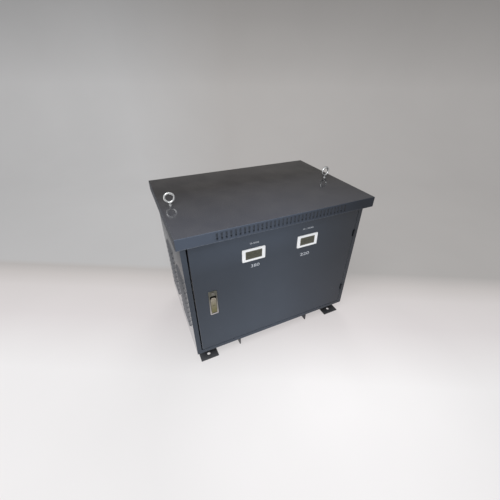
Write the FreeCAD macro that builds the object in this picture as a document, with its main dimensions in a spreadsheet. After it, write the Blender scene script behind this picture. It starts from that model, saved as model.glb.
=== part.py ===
"""Dry-type three-phase transformer in a floor cabinet, in millimetres.

The origin lies on the ground under the middle of the lid. X runs to the right, Y to the back and
Z up. The front is the door. Every length is a cell of the sheet "Sizes", and the shapes are bound
to those cells.
"""
import FreeCAD, Part
import math
import operator
import os
from types import SimpleNamespace

import Sketcher
from FreeCAD import Placement, Rotation, Vector

SIZES = {
    # Lid: a pan of folded sheet with a row of slots in its front skirt.
    "lid_width": 840, "lid_depth": 580, "lid_skirt": 43, "lid_sheet": 2, "lid_bend": 3,
    "slot_count": 33, "slot_pitch": 16.9, "slot_width": 6.5, "slot_length": 27,
    "slot_drop": 8.5, "slot_start": 142,
    # Cabinet: two folded sides, floor pan, two top rails and a rear panel, all under the lid.
    "lid_side_overhang": 17, "lid_end_overhang": 35, "case_height": 631, "case_sheet": 1.5,
    "floor_sheet": 2, "stile_width": 20, "stile_lip": 24, "top_flange": 45, "rail_flange": 26,
    "header_height": 48, "sill_height": 18, "stop_height": 15, "stop_clearance": 0.5,
    "rear_rail_height": 48, "pan_flange": 20, "rear_panel_inset": 5,
    # Louvres in the sides: two columns of pressed hoods, open downwards.
    "louvre_count": 10, "louvre_pitch": 27, "louvre_length": 128, "louvre_height": 15,
    "louvre_rise": 6.5, "louvre_taper": 7, "louvre_lip": 2.2, "louvre_sheet": 1.2,
    "louvre_low": 200, "louvre_front_place": -143, "louvre_column_step": 220,
    # Base: two channel rails with bolt-down tabs, and two angle ribs under the floor.
    "base_height": 62, "rail_width": 84, "rail_sheet": 5, "rail_inset": 54, "tab_length": 46,
    "floor_hole_radius": 8, "floor_hole_setback": 28,
    "rib_place": 187, "rib_sheet": 5, "rib_flange": 36, "rib_recess": 18,
    # Lifting eyes: a ring on a turned neck, bolted through the lid into a steel angle below it.
    "eye_left_inset": 42.5, "eye_right_inset": 52, "eye_left_depth": -25,
    "eye_right_depth": -6, "eye_turn": 6,
    "eye_ring_radius": 17.5, "eye_wire_radius": 4.5, "eye_ring_height": 32.5,
    "eye_collar_radius": 8, "eye_collar_height": 3, "eye_neck_radius": 6,
    "eye_shank_radius": 5, "eye_shank_depth": 26,
    "eye_hole_clearance": 0.75, "bar_side": 50, "bar_sheet": 4,
    "eye_nut_radius": 9.8, "eye_nut_height": 8, "thread_clearance": 0.1,
    # Cable slot in the floor, with a rubber strip over its edge.
    "cable_slot_length": 220, "cable_slot_width": 56, "cable_slot_place": 185,
    "strip_wall": 4, "strip_flange": 5, "strip_lip": 3, "strip_clearance": 0.2,
    # Laminated core.
    "core_depth_place": 20, "limb_width": 100, "window_width": 120, "window_height": 260,
    "yoke_height": 100, "stack_depth": 120, "core_lift": 15,
    # Clamps round the yokes, their bolts, and the rubber pads below them.
    "clamp_overhang": 30, "clamp_height": 100, "clamp_flange": 40, "clamp_sheet": 5,
    "clamp_rise": 10, "clamp_bolt_radius": 6, "clamp_bolt_clearance": 0.5,
    "clamp_bolt_gap": 3, "clamp_head_radius": 10.5, "clamp_head_height": 8,
    "pad_height": 15, "pad_width": 40, "pad_length": 36,
    # Windings: an inner and an outer coil on each limb, with a cooling duct between them.
    "former_gap": 3, "low_coil_wall": 20, "duct_gap": 10, "high_coil_wall": 20,
    "coil_end_gap": 10, "spacer_width": 12, "spacer_offset": 30,
    "block_width": 26, "block_offset": 32, "block_margin": 1,
    # Terminal boards on the upper clamps, their studs and the copper leads.
    "board_length": 480, "board_width": 40, "board_height": 12, "stud_radius": 4,
    "stud_height": 30, "stud_nut_radius": 7.5, "stud_nut_height": 6.5,
    "lead_width": 20, "lead_sheet": 3, "lead_overlap": 20, "lead_rise_place": 80,
    "lead_slot_clearance": 3, "stud_reach": 94,
    # Door: a folded pan with an inward lip, set flush between the stiles.
    "door_gap": 5.5, "hinge_gap": 1.5, "door_end_gap": 2, "door_sheet": 1.5,
    "door_depth": 22, "door_lip": 15, "door_bend": 2, "gasket_width": 12,
    "gasket_height": 2, "gasket_inset": 1.5,
    "stiffener_width": 60, "stiffener_height": 17, "stiffener_flange": 12,
    "stiffener_end_gap": 12,
    # Hinges: two short lift-off barrels at the right edge of the door, their leaves inside.
    "hinge_low_drop": 513, "hinge_high_drop": 185, "hinge_height": 32, "barrel_radius": 4.5,
    "barrel_stand_off": 2, "leaf_sheet": 2, "leaf_end_gap": 0.5, "pin_radius": 2.5,
    "pin_clearance": 0.05, "knuckle_gap": 0.6, "notch_clearance": 0.5, "door_notch_room": 3.5,
    "pin_cap": 1.5,
    # Panel meters.
    "meter_left_place": 250.2, "meter_spread": 248.5, "meter_drop": 156.5,
    "bezel_width": 98.5, "bezel_height": 56.5,
    "bezel_rise": 4, "bezel_corner": 3, "meter_width": 91,
    "meter_height": 46, "meter_depth": 48, "meter_clearance": 0.5, "screen_width": 71,
    "screen_height": 37.7, "screen_recess": 1.8, "screen_sheet": 1.2, "screen_clearance": 0.2,
    "clip_width": 5, "clip_height": 20, "clip_depth": 24,
    # Latch: a flush housing with a folding handle and a key cylinder that turns a cam.
    "latch_inset": 71.5, "latch_drop": 348, "latch_width": 36, "latch_height": 127,
    "latch_rise": 3, "latch_corner": 5, "latch_bevel": 2, "cup_width": 31,
    "cup_height": 119, "cup_depth": 16, "cup_wall": 2.5, "cup_clearance": 0.5,
    "recess_low": 3.5, "recess_length": 95, "handle_length": 84.5, "handle_clearance": 1.5,
    "handle_sheet": 6, "handle_end_gap": 1.5,
    "handle_pin_radius": 2, "finger_dish_width": 12, "finger_dish_length": 34,
    "finger_dish_depth": 1.5, "lock_inset": 12.5, "lock_radius": 6.5,
    "lock_clearance": 0.05, "lock_rise": 1.5, "key_slot_width": 1.8, "key_slot_height": 8,
    "key_slot_depth": 8,
    "cam_length": 87, "cam_width": 18, "cam_sheet": 3, "cam_clearance": 0.3,
    "cam_hub_radius": 5, "cam_tail": 6.5,
}

# A cut runs this far past the face that it starts from.
OVERCUT = 1
# The three phases stand side by side along X, counted in limb pitches.
PHASES = {"a": -1, "b": 0, "c": 1}
# The eye's wire has this many flats round its section.
WIRE_SIDES = 8
# For each view: the origin plane that it is drawn on and the side that the plane faces.
VIEWS = {"plan": ("XY_Plane", 1), "front": ("XZ_Plane", -1), "side": ("YZ_Plane", 1)}
# Turns a shape's own Z axis to the named axis.
TURNS = {
    "x": Rotation(Vector(0, 1, 0), 90),
    "y": Rotation(Vector(1, 0, 0), -90),
    "z": Rotation(),
}
SIGNS = {"+": operator.add, "-": operator.sub, "*": operator.mul, "/": operator.truediv}


class Size:
    """A length tied to the sheet: its text for expressions, its number for a first draft."""

    def __init__(self, text, number):
        self.text = text
        self.number = number

    def __add__(self, other):
        return joined(self, "+", other)

    def __radd__(self, other):
        return joined(other, "+", self)

    def __sub__(self, other):
        return joined(self, "-", other)

    def __rsub__(self, other):
        return joined(other, "-", self)

    def __mul__(self, other):
        return joined(self, "*", other)

    def __rmul__(self, other):
        return joined(other, "*", self)

    def __truediv__(self, other):
        return joined(self, "/", other)

    def __neg__(self):
        return joined(0, "-", self)


def tied(value):
    """A plain number becomes a size whose text is that number."""
    return value if isinstance(value, Size) else Size("%g" % value, value)


def joined(first, sign, second):
    first, second = tied(first), tied(second)
    text = "(%s %s %s)" % (first.text, sign, second.text)
    return Size(text, SIGNS[sign](first.number, second.number))


doc = FreeCAD.newDocument("Transformer")
sheet = doc.addObject("Spreadsheet::Sheet", "Sizes")
for row, (alias, number) in enumerate(SIZES.items(), start=1):
    sheet.set("A%d" % row, alias)
    sheet.set("B%d" % row, "%g" % number)
    sheet.setAlias("B%d" % row, alias)
doc.recompute()
S = SimpleNamespace(**{name: Size("Sizes." + name, number) for name, number in SIZES.items()})
pieces = []

# Planes and edges that several pieces share.
CASE_WIDTH = S.lid_width - 2 * S.lid_side_overhang
CASE_DEPTH = S.lid_depth - 2 * S.lid_end_overhang
FRONT = -CASE_DEPTH / 2
REAR = CASE_DEPTH / 2
REAR_FLANGE = REAR - S.case_sheet
FLOOR_UNDER = S.base_height
FLOOR_TOP = FLOOR_UNDER + S.floor_sheet
LID_UNDER = S.base_height + S.case_height
LID_TOP = LID_UNDER + S.lid_sheet
OPENING_SIDE = CASE_WIDTH / 2 - S.stile_width
OPENING_TOP = LID_UNDER - S.header_height
OPENING_BOTTOM = FLOOR_UNDER + S.sill_height
STOP_FACE = FRONT + S.stile_lip + S.stop_clearance
DOOR_LEFT = S.door_gap - OPENING_SIDE
DOOR_RIGHT = OPENING_SIDE - S.hinge_gap
DOOR_BOTTOM = OPENING_BOTTOM + S.door_end_gap
DOOR_TOP = OPENING_TOP - S.door_end_gap
DOOR_BACK = FRONT + S.door_depth
PANEL_BACK = FRONT + S.door_sheet
RAIL_SPREAD = CASE_WIDTH - 2 * S.rail_inset
LATCH_X = DOOR_LEFT + S.latch_inset
METER_LEFT = DOOR_LEFT + S.meter_left_place
METER_RIGHT = METER_LEFT + S.meter_spread
EYE_LEFT = S.eye_left_inset - S.lid_width / 2
EYE_RIGHT = S.lid_width / 2 - S.eye_right_inset
PIN_X = OPENING_SIDE - S.hinge_gap / 2
PIN_Y = FRONT - S.barrel_stand_off
BAR_TOP = LID_UNDER - S.case_sheet
BAR_UNDER = BAR_TOP - S.bar_sheet
CLAMP_LOW = FLOOR_TOP + S.pad_height
CORE_LOW = CLAMP_LOW + S.core_lift
CORE_TOP = CORE_LOW + S.window_height + 2 * S.yoke_height
CLAMP_HIGH = CORE_TOP + S.clamp_rise - S.clamp_height
BOARD_LOW = CLAMP_HIGH + S.clamp_height
BOARD_TOP = BOARD_LOW + S.board_height
LIMB_PITCH = S.limb_width + S.window_width
CORE_WIDTH = 3 * S.limb_width + 2 * S.window_width
CLAMP_LENGTH = CORE_WIDTH + 2 * S.clamp_overhang
COIL_LOW = CORE_LOW + S.yoke_height + S.coil_end_gap
COIL_HEIGHT = S.window_height - 2 * S.coil_end_gap
COIL_TOP = COIL_LOW + COIL_HEIGHT
LOW_COIL_OUT = S.former_gap + S.low_coil_wall
HIGH_COIL_IN = LOW_COIL_OUT + S.duct_gap
HIGH_COIL_OUT = HIGH_COIL_IN + S.high_coil_wall
LATCH_Z = LID_TOP - S.latch_drop
METER_Z = LID_TOP - S.meter_drop
RECESS_LOW = LATCH_Z - S.cup_height / 2 + S.recess_low
HANDLE_LOW = RECESS_LOW + S.handle_end_gap
HANDLE_Y = FRONT - S.latch_rise + S.handle_sheet / 2
HANDLE_PIN_Z = HANDLE_LOW + S.handle_sheet / 2
LOCK_Z = LATCH_Z + S.latch_height / 2 - S.lock_inset
CAM_FRONT = FRONT + S.stile_lip + S.cam_clearance


# Drawing and solid features.

def new_body(label):
    body = doc.addObject("PartDesign::Body", label)
    body.Label = label
    return body


def new_sketch(body, view, at):
    """Sketch on one of the body's own planes, moved to the given place along that view."""
    role, facing = VIEWS[view]
    sketch = body.newObject("Sketcher::SketchObject", body.Name + "_sketch")
    plane = next(item for item in body.Origin.OriginFeatures if item.Role == role)
    sketch.AttachmentSupport = [(plane, "")]
    sketch.MapMode = "FlatFace"
    sketch.setExpression("AttachmentOffset.Base.z", tied(facing * tied(at)).text)
    return sketch


def pin_point(sketch, curve, end, u, v):
    """Tie one end of a curve to the sketch's origin by two bound distances."""
    for kind, place in (("DistanceX", tied(u)), ("DistanceY", tied(v))):
        index = sketch.addConstraint(Sketcher.Constraint(kind, curve, end, place.number))
        sketch.setExpression("Constraints[%d]" % index, place.text)


def draw_outline(sketch, points):
    """Closed outline of straight edges."""
    start = sketch.GeometryCount
    count = len(points)
    drafts = [Vector(tied(u).number, tied(v).number, 0) for u, v in points]
    for index, draft in enumerate(drafts):
        sketch.addGeometry(Part.LineSegment(draft, drafts[(index + 1) % count]))
    for index in range(count):
        following = start + (index + 1) % count
        sketch.addConstraint(Sketcher.Constraint("Coincident", start + index, 2, following, 1))
    for index, (u, v) in enumerate(points):
        pin_point(sketch, start + index, 1, u, v)


def draw_circle(sketch, u, v, radius):
    u, v, radius = tied(u), tied(v), tied(radius)
    centre = Vector(u.number, v.number, 0)
    curve = sketch.addGeometry(Part.Circle(centre, Vector(0, 0, 1), radius.number))
    pin_point(sketch, curve, 3, u, v)
    index = sketch.addConstraint(Sketcher.Constraint("Radius", curve, radius.number))
    sketch.setExpression("Constraints[%d]" % index, radius.text)


def block(u_low, u_high, v_low, v_high):
    """The four corners of an upright rectangle."""
    return [(u_low, v_low), (u_high, v_low), (u_high, v_high), (u_low, v_high)]


def pad(body, sketch, length, towards):
    """Pad along the view's axis, towards +1 or -1."""
    feature = body.newObject("PartDesign::Pad", body.Name + "_pad")
    feature.Profile = sketch
    feature.setExpression("Length", tied(length).text)
    feature.Reversed = sketch_facing(sketch) != towards
    return feature


def pocket(body, sketch, length, towards):
    """Pocket along the view's axis, towards +1 or -1."""
    feature = body.newObject("PartDesign::Pocket", body.Name + "_pocket")
    feature.Profile = sketch
    feature.setExpression("Length", tied(length).text)
    feature.Reversed = sketch_facing(sketch) == towards
    return feature


def sketch_facing(sketch):
    role = sketch.AttachmentSupport[0][0].Role
    return next(facing for plane, facing in VIEWS.values() if plane == role)


def pad_outline(body, view, at, points, length, towards):
    sketch = new_sketch(body, view, at)
    draw_outline(sketch, points)
    return pad(body, sketch, length, towards)


def pad_ring(body, view, at, outer, inner, length, towards):
    sketch = new_sketch(body, view, at)
    draw_outline(sketch, outer)
    draw_outline(sketch, inner)
    return pad(body, sketch, length, towards)


def pocket_outlines(body, view, at, outlines, length, towards):
    sketch = new_sketch(body, view, at)
    for points in outlines:
        draw_outline(sketch, points)
    return pocket(body, sketch, length, towards)


def pocket_circles(body, view, at, circles, length, towards):
    sketch = new_sketch(body, view, at)
    for u, v, radius in circles:
        draw_circle(sketch, u, v, radius)
    return pocket(body, sketch, length, towards)


def axis_of(body, name):
    return next(item for item in body.Origin.OriginFeatures if item.Role == name)


def row(body, originals, axis, count, pitch, backwards=False):
    """Linear pattern of features along one of the body's axes."""
    pattern = body.newObject("PartDesign::LinearPattern", body.Name + "_row")
    pattern.Originals = originals
    pattern.Direction = (axis_of(body, axis), [""])
    pattern.Reversed = backwards
    pattern.Mode = "Spacing"
    pattern.setExpression("Offset", tied(pitch).text)
    pattern.setExpression("Occurrences", tied(count).text)
    body.Tip = pattern
    return pattern


def revolve(body, points):
    """Turn an outline, drawn in the front view, about the body's Z axis."""
    sketch = new_sketch(body, "front", 0)
    draw_outline(sketch, points)
    feature = body.newObject("PartDesign::Revolution", body.Name + "_turned")
    feature.Profile = sketch
    feature.ReferenceAxis = (axis_of(body, "Z_Axis"), [""])
    feature.Angle = 360
    return feature


def chosen_edges(feature, wanted):
    """Names of the feature's edges whose two end points satisfy the given test."""
    doc.recompute()
    names = []
    for index, edge in enumerate(feature.Shape.Edges, start=1):
        if len(edge.Vertexes) == 2 and wanted(edge.Vertexes[0].Point, edge.Vertexes[1].Point):
            names.append("Edge%d" % index)
    return names


def round_edges(body, feature, radius, wanted):
    names = chosen_edges(feature, wanted)
    rounded = body.newObject("PartDesign::Fillet", body.Name + "_round")
    rounded.Base = (feature, names)
    rounded.setExpression("Radius", tied(radius).text)
    return rounded


def bevel_edges(body, feature, size, wanted):
    names = chosen_edges(feature, wanted)
    bevelled = body.newObject("PartDesign::Chamfer", body.Name + "_bevel")
    bevelled.Base = (feature, names)
    bevelled.setExpression("Size", tied(size).text)
    return bevelled


def upright(first, second):
    return abs(first.x - second.x) < 1e-6 and abs(first.y - second.y) < 1e-6


def near(value, size):
    return abs(value - tied(size).number) < 1e-4


# Plain solids and booleans.

def place(item, x, y, z):
    for axis, distance in zip("xyz", (x, y, z)):
        item.setExpression("Placement.Base." + axis, tied(distance).text)
    return item


def box(x_low, x_high, y_low, y_high, z_low, z_high):
    item = doc.addObject("Part::Box", "box")
    spans = (("Length", x_low, x_high), ("Width", y_low, y_high), ("Height", z_low, z_high))
    for name, low, high in spans:
        item.setExpression(name, (tied(high) - low).text)
    return place(item, x_low, y_low, z_low)


def cylinder(axis, x, y, z, radius, length):
    item = doc.addObject("Part::Cylinder", "cylinder")
    item.Placement = Placement(Vector(), TURNS[axis])
    item.setExpression("Radius", tied(radius).text)
    item.setExpression("Height", tied(length).text)
    return place(item, x, y, z)


def hexagon(axis, x, y, z, radius, length):
    item = doc.addObject("Part::Prism", "hexagon")
    item.Polygon = 6
    item.Placement = Placement(Vector(), TURNS[axis])
    item.setExpression("Circumradius", tied(radius).text)
    item.setExpression("Height", tied(length).text)
    return place(item, x, y, z)


def fuse(*items):
    item = doc.addObject("Part::MultiFuse", "fuse")
    item.Shapes = list(items)
    item.Refine = True
    return item


def cut(base, *tools):
    item = doc.addObject("Part::Cut", "cut")
    item.Base = base
    item.Tool = tools[0] if len(tools) == 1 else fuse(*tools)
    return item


def group(items):
    """Like pieces, each its own solid, that share one name."""
    item = doc.addObject("Part::Compound", "group")
    item.Links = items
    return item


def nut(axis, x, y, z, radius, length, bore):
    ring = hexagon(axis, x, y, z, radius, length)
    return cut(ring, cylinder(axis, x, y, z, bore, length))


def keep(label, item):
    """Give a finished piece its name and list it for writing."""
    item.Label = label
    pieces.append(item)
    return item


def sided(side):
    return "left" if side < 0 else "right"


# Base.

def base_rail(side):
    """Channel, web down. Its side flanges stop short at both ends, which leaves flat tabs."""
    body = new_body("base_rail_" + sided(side))
    half = S.rail_width / 2
    inner = half - S.rail_sheet
    channel = [(-half, 0), (half, 0), (half, S.base_height), (inner, S.base_height),
               (inner, S.rail_sheet), (-inner, S.rail_sheet), (-inner, S.base_height),
               (-half, S.base_height)]
    pad_outline(body, "front", REAR, channel, CASE_DEPTH, -1)
    ends = [block(end * (REAR - S.tab_length), end * (REAR + OVERCUT), S.rail_sheet,
                  S.base_height + OVERCUT) for end in (-1, 1)]
    pocket_outlines(body, "side", -half - OVERCUT, ends, S.rail_width + 2 * OVERCUT, 1)
    holes = [(0, end * (REAR - S.floor_hole_setback), S.floor_hole_radius) for end in (-1, 1)]
    pocket_circles(body, "plan", 0, holes, S.rail_sheet, 1)
    place(body, side * RAIL_SPREAD / 2, 0, 0)
    keep(body.Label, body)


def cross_rib(side):
    """Steel angle under the floor, on edge, that carries the feet of the core."""
    body = new_body("cross_rib_" + sided(side))
    out = side * (S.rib_place + S.rib_sheet)
    web = side * S.rib_place
    far = out - side * S.rib_flange
    under = S.base_height - S.rib_sheet
    angle = [(out, 0), (out, S.base_height), (far, S.base_height), (far, under), (web, under),
             (web, 0)]
    depth = CASE_DEPTH - 2 * S.rib_recess
    pad_outline(body, "front", REAR - S.rib_recess, angle, depth, -1)
    keep(body.Label, body)


# Cabinet.

def floor_pan():
    """Floor sheet with the front sill, the door's lower stop and low flanges round its edge."""
    body = new_body("floor_pan")
    inner = CASE_WIDTH / 2 - S.case_sheet
    notch = FRONT + S.stile_lip
    back = REAR_FLANGE - S.case_sheet
    outline = [(-inner, notch), (-OPENING_SIDE, notch), (-OPENING_SIDE, FRONT),
               (OPENING_SIDE, FRONT), (OPENING_SIDE, notch), (inner, notch), (inner, back),
               (OPENING_SIDE, back), (OPENING_SIDE, REAR_FLANGE),
               (-OPENING_SIDE, REAR_FLANGE), (-OPENING_SIDE, back), (-inner, back)]
    pad_outline(body, "plan", FLOOR_UNDER, outline, S.floor_sheet, 1)
    inside = FRONT + S.case_sheet
    behind = STOP_FACE + S.case_sheet
    below = OPENING_BOTTOM - S.case_sheet
    sill = [(FRONT, FLOOR_UNDER), (FRONT, OPENING_BOTTOM), (STOP_FACE, OPENING_BOTTOM),
            (STOP_FACE, OPENING_BOTTOM + S.stop_height),
            (behind, OPENING_BOTTOM + S.stop_height), (behind, below), (inside, below),
            (inside, FLOOR_UNDER)]
    pad_outline(body, "side", -OPENING_SIDE, sill, 2 * OPENING_SIDE, 1)
    for side in (-1, 1):
        start = side * (inner - S.case_sheet) if side > 0 else -inner
        flange = block(notch, back, FLOOR_TOP, FLOOR_TOP + S.pan_flange)
        pad_outline(body, "side", start, flange, S.case_sheet, 1)
    rear = block(back, REAR_FLANGE, FLOOR_TOP, FLOOR_TOP + S.pan_flange)
    pad_outline(body, "side", -OPENING_SIDE, rear, 2 * OPENING_SIDE, 1)
    pocket_outlines(body, "plan", FLOOR_UNDER, [cable_slot(0)], S.floor_sheet, 1)
    keep(body.Label, body)


def cable_slot(inset):
    """Outline of the floor's cable slot, drawn in by the inset."""
    half_x = S.cable_slot_length / 2 - inset
    half_y = S.cable_slot_width / 2 - inset
    return block(-half_x, half_x, S.cable_slot_place - half_y, S.cable_slot_place + half_y)


def side_panel(side):
    """Folded side with a front stile, rear and top flanges, and two columns of louvres."""
    body = new_body(sided(side) + "_side_panel")
    outer = CASE_WIDTH / 2
    inner = outer - S.case_sheet
    lip = OPENING_SIDE + S.case_sheet
    lip_end = FRONT + S.stile_lip
    section = [(outer, FRONT), (OPENING_SIDE, FRONT), (OPENING_SIDE, lip_end), (lip, lip_end),
               (lip, FRONT + S.case_sheet), (inner, FRONT + S.case_sheet),
               (inner, REAR_FLANGE - S.case_sheet), (OPENING_SIDE, REAR_FLANGE - S.case_sheet),
               (OPENING_SIDE, REAR_FLANGE), (outer, REAR_FLANGE)]
    pad_outline(body, "plan", FLOOR_UNDER, [(side * x, y) for x, y in section],
                S.case_height, 1)
    flange = block(inner - S.top_flange, inner, FRONT + S.rail_flange, REAR - S.rail_flange)
    pad_outline(body, "plan", BAR_TOP, [(side * x, y) for x, y in flange], S.case_sheet, 1)
    pocket_circles(body, "plan", BAR_TOP, [eye_hole(side)], S.case_sheet, 1)
    if side > 0:
        notch_edge = PIN_X + S.barrel_radius + S.notch_clearance
        notch_depth = S.barrel_radius + S.notch_clearance - S.barrel_stand_off
        notches = [block(OPENING_SIDE - OVERCUT, notch_edge, low, high)
                   for low, high in hinge_notch_spans()]
        pocket_outlines(body, "front", FRONT, notches, notch_depth, 1)
    add_louvres(body, side)
    keep(body.Label, body)


def add_louvres(body, side):
    """Pressed hoods: each rises out of the sheet at its top and is open below."""
    width, sheet_in = S.louvre_length, S.louvre_sheet
    for column in (0, 1):
        hood = body.newObject("PartDesign::AdditiveWedge", body.Name + "_hood")
        wedge_sizes(hood, width, S.louvre_height, 0, S.louvre_rise)
        mouth = body.newObject("PartDesign::SubtractiveWedge", body.Name + "_mouth")
        wedge_sizes(mouth, width - 2 * sheet_in, S.louvre_height - sheet_in, -S.case_sheet,
                    S.louvre_rise - sheet_in)
        y = S.louvre_front_place + column * S.louvre_column_step
        for feature in (hood, mouth):
            feature.Placement = Placement(Vector(), Rotation(Vector(0, 0, 1), -90 * side))
            place(feature, side * CASE_WIDTH / 2, y, S.louvre_low)
        row(body, [hood, mouth], "Z_Axis", S.louvre_count, S.louvre_pitch)


def wedge_sizes(feature, width, height, inner, outer):
    """Wedge with its full height at the sheet and a narrow lip at its outer edge, level below."""
    half = width / 2
    taper = S.louvre_taper
    spans = {"Xmin": -half, "Xmax": half, "X2min": -half + taper, "X2max": half - taper,
             "Ymin": inner, "Ymax": outer, "Zmin": 0, "Zmax": height, "Z2min": 0,
             "Z2max": S.louvre_lip}
    for name, size in spans.items():
        feature.setExpression(name, tied(size).text)


def top_front_rail():
    """Folded header over the door, with the door's upper stop."""
    body = new_body("top_front_rail")
    inside = FRONT + S.case_sheet
    behind = STOP_FACE + S.case_sheet
    flange_end = FRONT + S.rail_flange
    section = [(FRONT, OPENING_TOP), (FRONT, LID_UNDER), (flange_end, LID_UNDER),
               (flange_end, BAR_TOP), (inside, BAR_TOP), (inside, OPENING_TOP + S.case_sheet),
               (behind, OPENING_TOP + S.case_sheet), (behind, OPENING_TOP - S.stop_height),
               (STOP_FACE, OPENING_TOP - S.stop_height), (STOP_FACE, OPENING_TOP)]
    pad_outline(body, "side", -OPENING_SIDE, section, 2 * OPENING_SIDE, 1)
    keep(body.Label, body)


def top_rear_rail():
    """Folded rail that ties the two sides behind, under the lid."""
    body = new_body("top_rear_rail")
    low = LID_UNDER - S.rear_rail_height
    inside = REAR_FLANGE - S.case_sheet
    flange_end = REAR - S.rail_flange
    section = [(REAR_FLANGE, low), (REAR_FLANGE, LID_UNDER), (flange_end, LID_UNDER),
               (flange_end, BAR_TOP), (inside, BAR_TOP), (inside, low + S.case_sheet),
               (flange_end, low + S.case_sheet), (flange_end, low)]
    pad_outline(body, "side", -OPENING_SIDE, section, 2 * OPENING_SIDE, 1)
    keep(body.Label, body)


def rear_panel():
    """Flat sheet between the lid and the floor, over the sides' rear flanges."""
    body = new_body("rear_panel")
    half = CASE_WIDTH / 2 - S.rear_panel_inset
    outline = block(-half, half, FLOOR_UNDER + S.rear_panel_inset,
                    LID_UNDER - S.rear_panel_inset)
    pad_outline(body, "front", REAR, outline, S.case_sheet, -1)
    keep(body.Label, body)


def eye_place(side):
    if side < 0:
        return EYE_LEFT, S.eye_left_depth
    return EYE_RIGHT, S.eye_right_depth


def eye_hole(side):
    return (*eye_place(side), S.eye_shank_radius + S.eye_hole_clearance)


def lid():
    """Pan lid: deep-folded sheet with a row of slots in its front skirt."""
    body = new_body("lid")
    half_x, half_y = S.lid_width / 2, S.lid_depth / 2
    pan = pad_outline(body, "plan", LID_TOP - S.lid_skirt,
                      block(-half_x, half_x, -half_y, half_y), S.lid_skirt, 1)

    def outer_edge(first, second):
        top = near(first.z, LID_TOP) and near(second.z, LID_TOP)
        return top or upright(first, second)

    round_edges(body, pan, S.lid_bend, outer_edge)
    sheet_in = S.lid_sheet
    inside = block(-half_x + sheet_in, half_x - sheet_in, -half_y + sheet_in,
                   half_y - sheet_in)
    pocket_outlines(body, "plan", LID_TOP - S.lid_skirt, [inside], S.lid_skirt - sheet_in, 1)
    first = S.slot_start - half_x
    slot_top = LID_TOP - S.slot_drop
    opening = block(first - S.slot_width / 2, first + S.slot_width / 2,
                    slot_top - S.slot_length, slot_top)
    slot = pocket_outlines(body, "front", -half_y, [opening], S.lid_sheet, 1)
    row(body, [slot], "X_Axis", S.slot_count, S.slot_pitch)
    holes = [eye_hole(side) for side in (-1, 1)]
    pocket_circles(body, "plan", LID_UNDER, holes, S.lid_sheet, 1)
    keep(body.Label, body)


def lifting_bar():
    """Steel angle from side to side under the lid, which takes the pull of the two eyes."""
    body = new_body("lifting_bar")
    middle = (S.eye_left_depth + S.eye_right_depth) / 2
    near_y = middle - S.bar_side / 2
    far_y = middle + S.bar_side / 2
    angle = [(near_y, BAR_TOP), (far_y, BAR_TOP), (far_y, BAR_TOP - S.bar_side),
             (far_y - S.bar_sheet, BAR_TOP - S.bar_side), (far_y - S.bar_sheet, BAR_UNDER),
             (near_y, BAR_UNDER)]
    inner = CASE_WIDTH / 2 - S.case_sheet
    pad_outline(body, "side", -inner, angle, 2 * inner, 1)
    holes = [eye_hole(side) for side in (-1, 1)]
    pocket_circles(body, "plan", BAR_UNDER, holes, S.bar_sheet, 1)
    keep(body.Label, body)


def eye_bolt(side):
    """Forged eye: shank, small collar and tapered neck, with a ring across the top."""
    stem = new_body("eye_stem")
    ring_low = S.eye_ring_height - S.eye_ring_radius
    revolve(stem, [(0, -S.eye_shank_depth), (S.eye_shank_radius, -S.eye_shank_depth),
                   (S.eye_shank_radius, 0), (S.eye_collar_radius, 0),
                   (S.eye_collar_radius, S.eye_collar_height), (S.eye_neck_radius, ring_low),
                   (0, ring_low)])
    ring = new_body("eye_ring")
    section = []
    for index in range(WIRE_SIDES):
        angle = 2 * math.pi * (index + 0.5) / WIRE_SIDES
        section.append((S.eye_ring_radius + S.eye_wire_radius * math.cos(angle),
                        S.eye_wire_radius * math.sin(angle)))
    revolve(ring, section)
    ring.Placement = Placement(Vector(), TURNS["y"])
    place(ring, 0, 0, S.eye_ring_height)
    eye = fuse(stem, ring)
    eye.Placement = Placement(Vector(), Rotation(Vector(0, 0, 1), 1))
    eye.setExpression("Placement.Rotation.Angle", (side * S.eye_turn).text)
    return place(eye, *eye_place(side), LID_TOP)


def eye_nuts():
    """Nut on each eye's shank, under the lifting bar."""
    bore = S.eye_shank_radius + S.thread_clearance
    nuts = [nut("z", *eye_place(side), BAR_UNDER - S.eye_nut_height, S.eye_nut_radius,
                S.eye_nut_height, bore) for side in (-1, 1)]
    keep("eye_nuts", group(nuts))


def cable_edge_strip():
    """Rubber strip pressed over the edge of the cable slot, grooved for the sheet."""
    body = new_body("cable_edge_strip")
    inner = cable_slot(S.strip_wall)
    lips = cable_slot(-S.strip_flange)
    top = FLOOR_TOP + S.strip_lip
    under = FLOOR_UNDER - S.strip_lip
    pad_ring(body, "plan", under, lips, inner, S.strip_lip, 1)
    pad_ring(body, "plan", FLOOR_UNDER, cable_slot(S.strip_clearance), inner, S.floor_sheet, 1)
    pad_ring(body, "plan", top, lips, inner, S.strip_lip, -1)
    keep(body.Label, body)


# Core and clamps.

def yoke_bolt_places():
    """Bolts pass both ends of both yokes, just clear of the laminations."""
    x = CORE_WIDTH / 2 + S.clamp_bolt_gap + S.clamp_bolt_radius
    return [(side * x, z) for side in (-1, 1)
            for z in (CORE_LOW + S.yoke_height / 2, CORE_TOP - S.yoke_height / 2)]


def core():
    """Stack of laminations with three limbs and two windows."""
    body = new_body("core")
    front_view = new_sketch(body, "front", S.core_depth_place + S.stack_depth / 2)
    draw_outline(front_view, block(-CORE_WIDTH / 2, CORE_WIDTH / 2, CORE_LOW, CORE_TOP))
    for side in (-1, 1):
        near_x = side * S.limb_width / 2
        far_x = near_x + side * S.window_width
        low = CORE_LOW + S.yoke_height
        draw_outline(front_view, block(near_x, far_x, low, low + S.window_height))
    pad(body, front_view, S.stack_depth, -1)
    keep(body.Label, body)


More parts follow.
